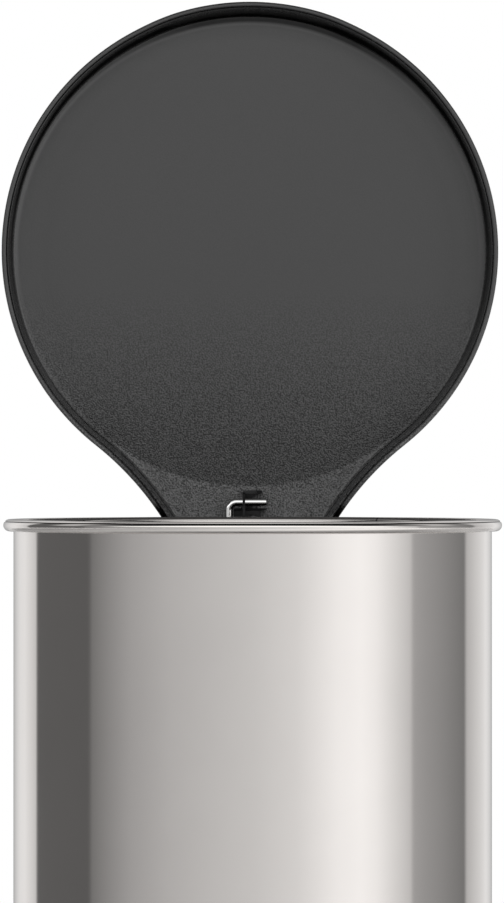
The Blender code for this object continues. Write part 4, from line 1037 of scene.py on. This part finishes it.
def wramp(fac, stops):
    n = wnode("ShaderNodeValToRGB")
    r = n.color_ramp
    while len(r.elements) > 1:
        r.elements.remove(r.elements[-1])
    for i, (p, c) in enumerate(stops):
        e = r.elements[0] if i == 0 else r.elements.new(p)
        e.position = p
        c = c if isinstance(c, tuple) else (c, c, c)
        e.color = (*c, 1.0)
    wt.links.new(fac, n.inputs["Fac"])
    return n.outputs["Color"]


def lin(level):
    c = level / 255.0
    return c / 12.92 if c <= 0.04045 else ((c + 0.055) / 1.055) ** 2.4


tc = wnode("ShaderNodeTexCoord")
sep = wnode("ShaderNodeSeparateXYZ")
wt.links.new(tc.outputs["Generated"], sep.inputs[0])
bearing = wmath('ARCTAN2', sep.outputs[0], wmath('MULTIPLY', sep.outputs[1], -1.0))
bearing = wmath('ADD', wmath('DIVIDE', bearing, math.tau), 0.5)
height = wmath('DIVIDE', wmath('ARCSINE', sep.outputs[2]), math.pi)
height = wmath('ADD', height, 0.5)
# 0 at the front horizon, 90 overhead, 180 at the back horizon
arch = wmath('ARCTAN2', sep.outputs[2], wmath('MULTIPLY', sep.outputs[1], -1.0))
arch = wmath('ADD', wmath('DIVIDE', arch, math.tau), 0.5)

REFL = 0.62
GAIN = 0.5          # ramps hold values up to 1, so the strength is 1 / GAIN
# around the horizon: long soft boxes with dark screens between them
horizon = [(-180, 125), (-172, 142), (-164, 165), (-157, 188), (-150, 206), (-142, 213), (-134, 202), (-128.0, 190),
           (-126.2, 88), (-85, 86), (-83, 112), (-60, 154), (-40, 172), (0, 192), (20, 206), (40, 233), (52, 239),
           (60, 232), (70, 210), (80, 186), (82, 154), (90, 144), (112, 122), (121, 112), (124, 172), (134, 190),
           (150, 208), (156, 195), (163, 174), (172, 138), (180, 125)]
hz = wramp(bearing, [((b + 180) / 360, lin(v) / REFL * GAIN) for b, v in horizon])
# above: a broad bright ring under a dark ceiling
overhead = [(-180, 0.9), (-90, 1.0), (-60, 0.98), (-30, 0.93), (-12, 0.9), (8, 1.0), (14, 1.5), (30, 1.7), (37, 1.5),
            (41, 0.18), (46, 0.05), (78, 0.05), (100, 0.18), (150, 0.18), (180, 0.3)]
up = wramp(arch, [((e + 180) / 360, v * GAIN) for e, v in overhead])
flank = wramp(wmath('ABSOLUTE', sep.outputs[0]), [(0.72, 0.0), (0.86, 0.26 * GAIN)])
behind = wramp(arch, [((e + 180) / 360, v) for e, v in ((84, 0.0), (98, 1.0), (150, 1.0), (165, 0.0))])
rear = wmath('MULTIPLY', wramp(wmath('ABSOLUTE', sep.outputs[0]), [(0.30, 0.0), (0.46, 0.22 * GAIN)]), behind)
front_h = wramp(height, [((e + 90) / 180, v) for e, v in ((-14, 0.0), (-9, 1.0), (11, 1.0), (17, 0.0))])
back_h = wramp(height, [((e + 90) / 180, v) for e, v in ((-14, 0.0), (-9, 1.0), (45, 1.0), (54, 0.0))])
back = wramp(bearing, [((b + 180) / 360, v) for b, v in ((-180, 1), (-112, 1), (-104, 0), (104, 0), (112, 1), (180, 1))])


def wmix(fac, a, b):
    m = wnode("ShaderNodeMix", data_type='RGBA')
    wt.links.new(fac, m.inputs["Factor"])
    wt.links.new(a, m.inputs["A"])
    wt.links.new(b, m.inputs["B"])
    return m.outputs["Result"]




def wadd(a, b):
    m = wnode("ShaderNodeMix", data_type='RGBA', blend_type='ADD')
    m.inputs["Factor"].default_value = 1.0
    wt.links.new(a, m.inputs["A"])
    wt.links.new(b, m.inputs["B"])
    return m.outputs["Result"]


surround = wmix(wmix(back, front_h, back_h), wadd(wadd(up, flank), rear), hz)
bg = wnode("ShaderNodeBackground")
bg.inputs["Strength"].default_value = 1.0 / GAIN
wt.links.new(surround, bg.inputs["Color"])
white = wnode("ShaderNodeBackground")
white.inputs["Color"].default_value = (1, 1, 1, 1)
white.inputs["Strength"].default_value = 1.0
lp = wnode("ShaderNodeLightPath")
ms = wnode("ShaderNodeMixShader")
wt.links.new(lp.outputs["Is Camera Ray"], ms.inputs[0])
wt.links.new(bg.outputs[0], ms.inputs[1])
wt.links.new(white.outputs[0], ms.inputs[2])
out = wnode("ShaderNodeOutputWorld")
wt.links.new(ms.outputs[0], out.inputs["Surface"])

# a soft panel close above
panel_data = bpy.data.lights.new("soft_panel", 'AREA')
panel_data.shape = 'RECTANGLE'
panel_data.size, panel_data.size_y = 0.62, 0.27
panel_data.energy = 0.72 * math.pi * 0.62 * 0.27
panel = bpy.data.objects.new("soft_panel", panel_data)
panel.location = (0.0, -0.110, Z_RIM * MM + 0.37)
bpy.context.scene.collection.objects.link(panel)

sc = bpy.context.scene
sc.view_settings.view_transform = 'Standard'
sc.view_settings.look = 'None'
sc.view_settings.exposure = 0.0
sc.view_settings.gamma = 1.0

bpy.data.collections.remove(TEMP)
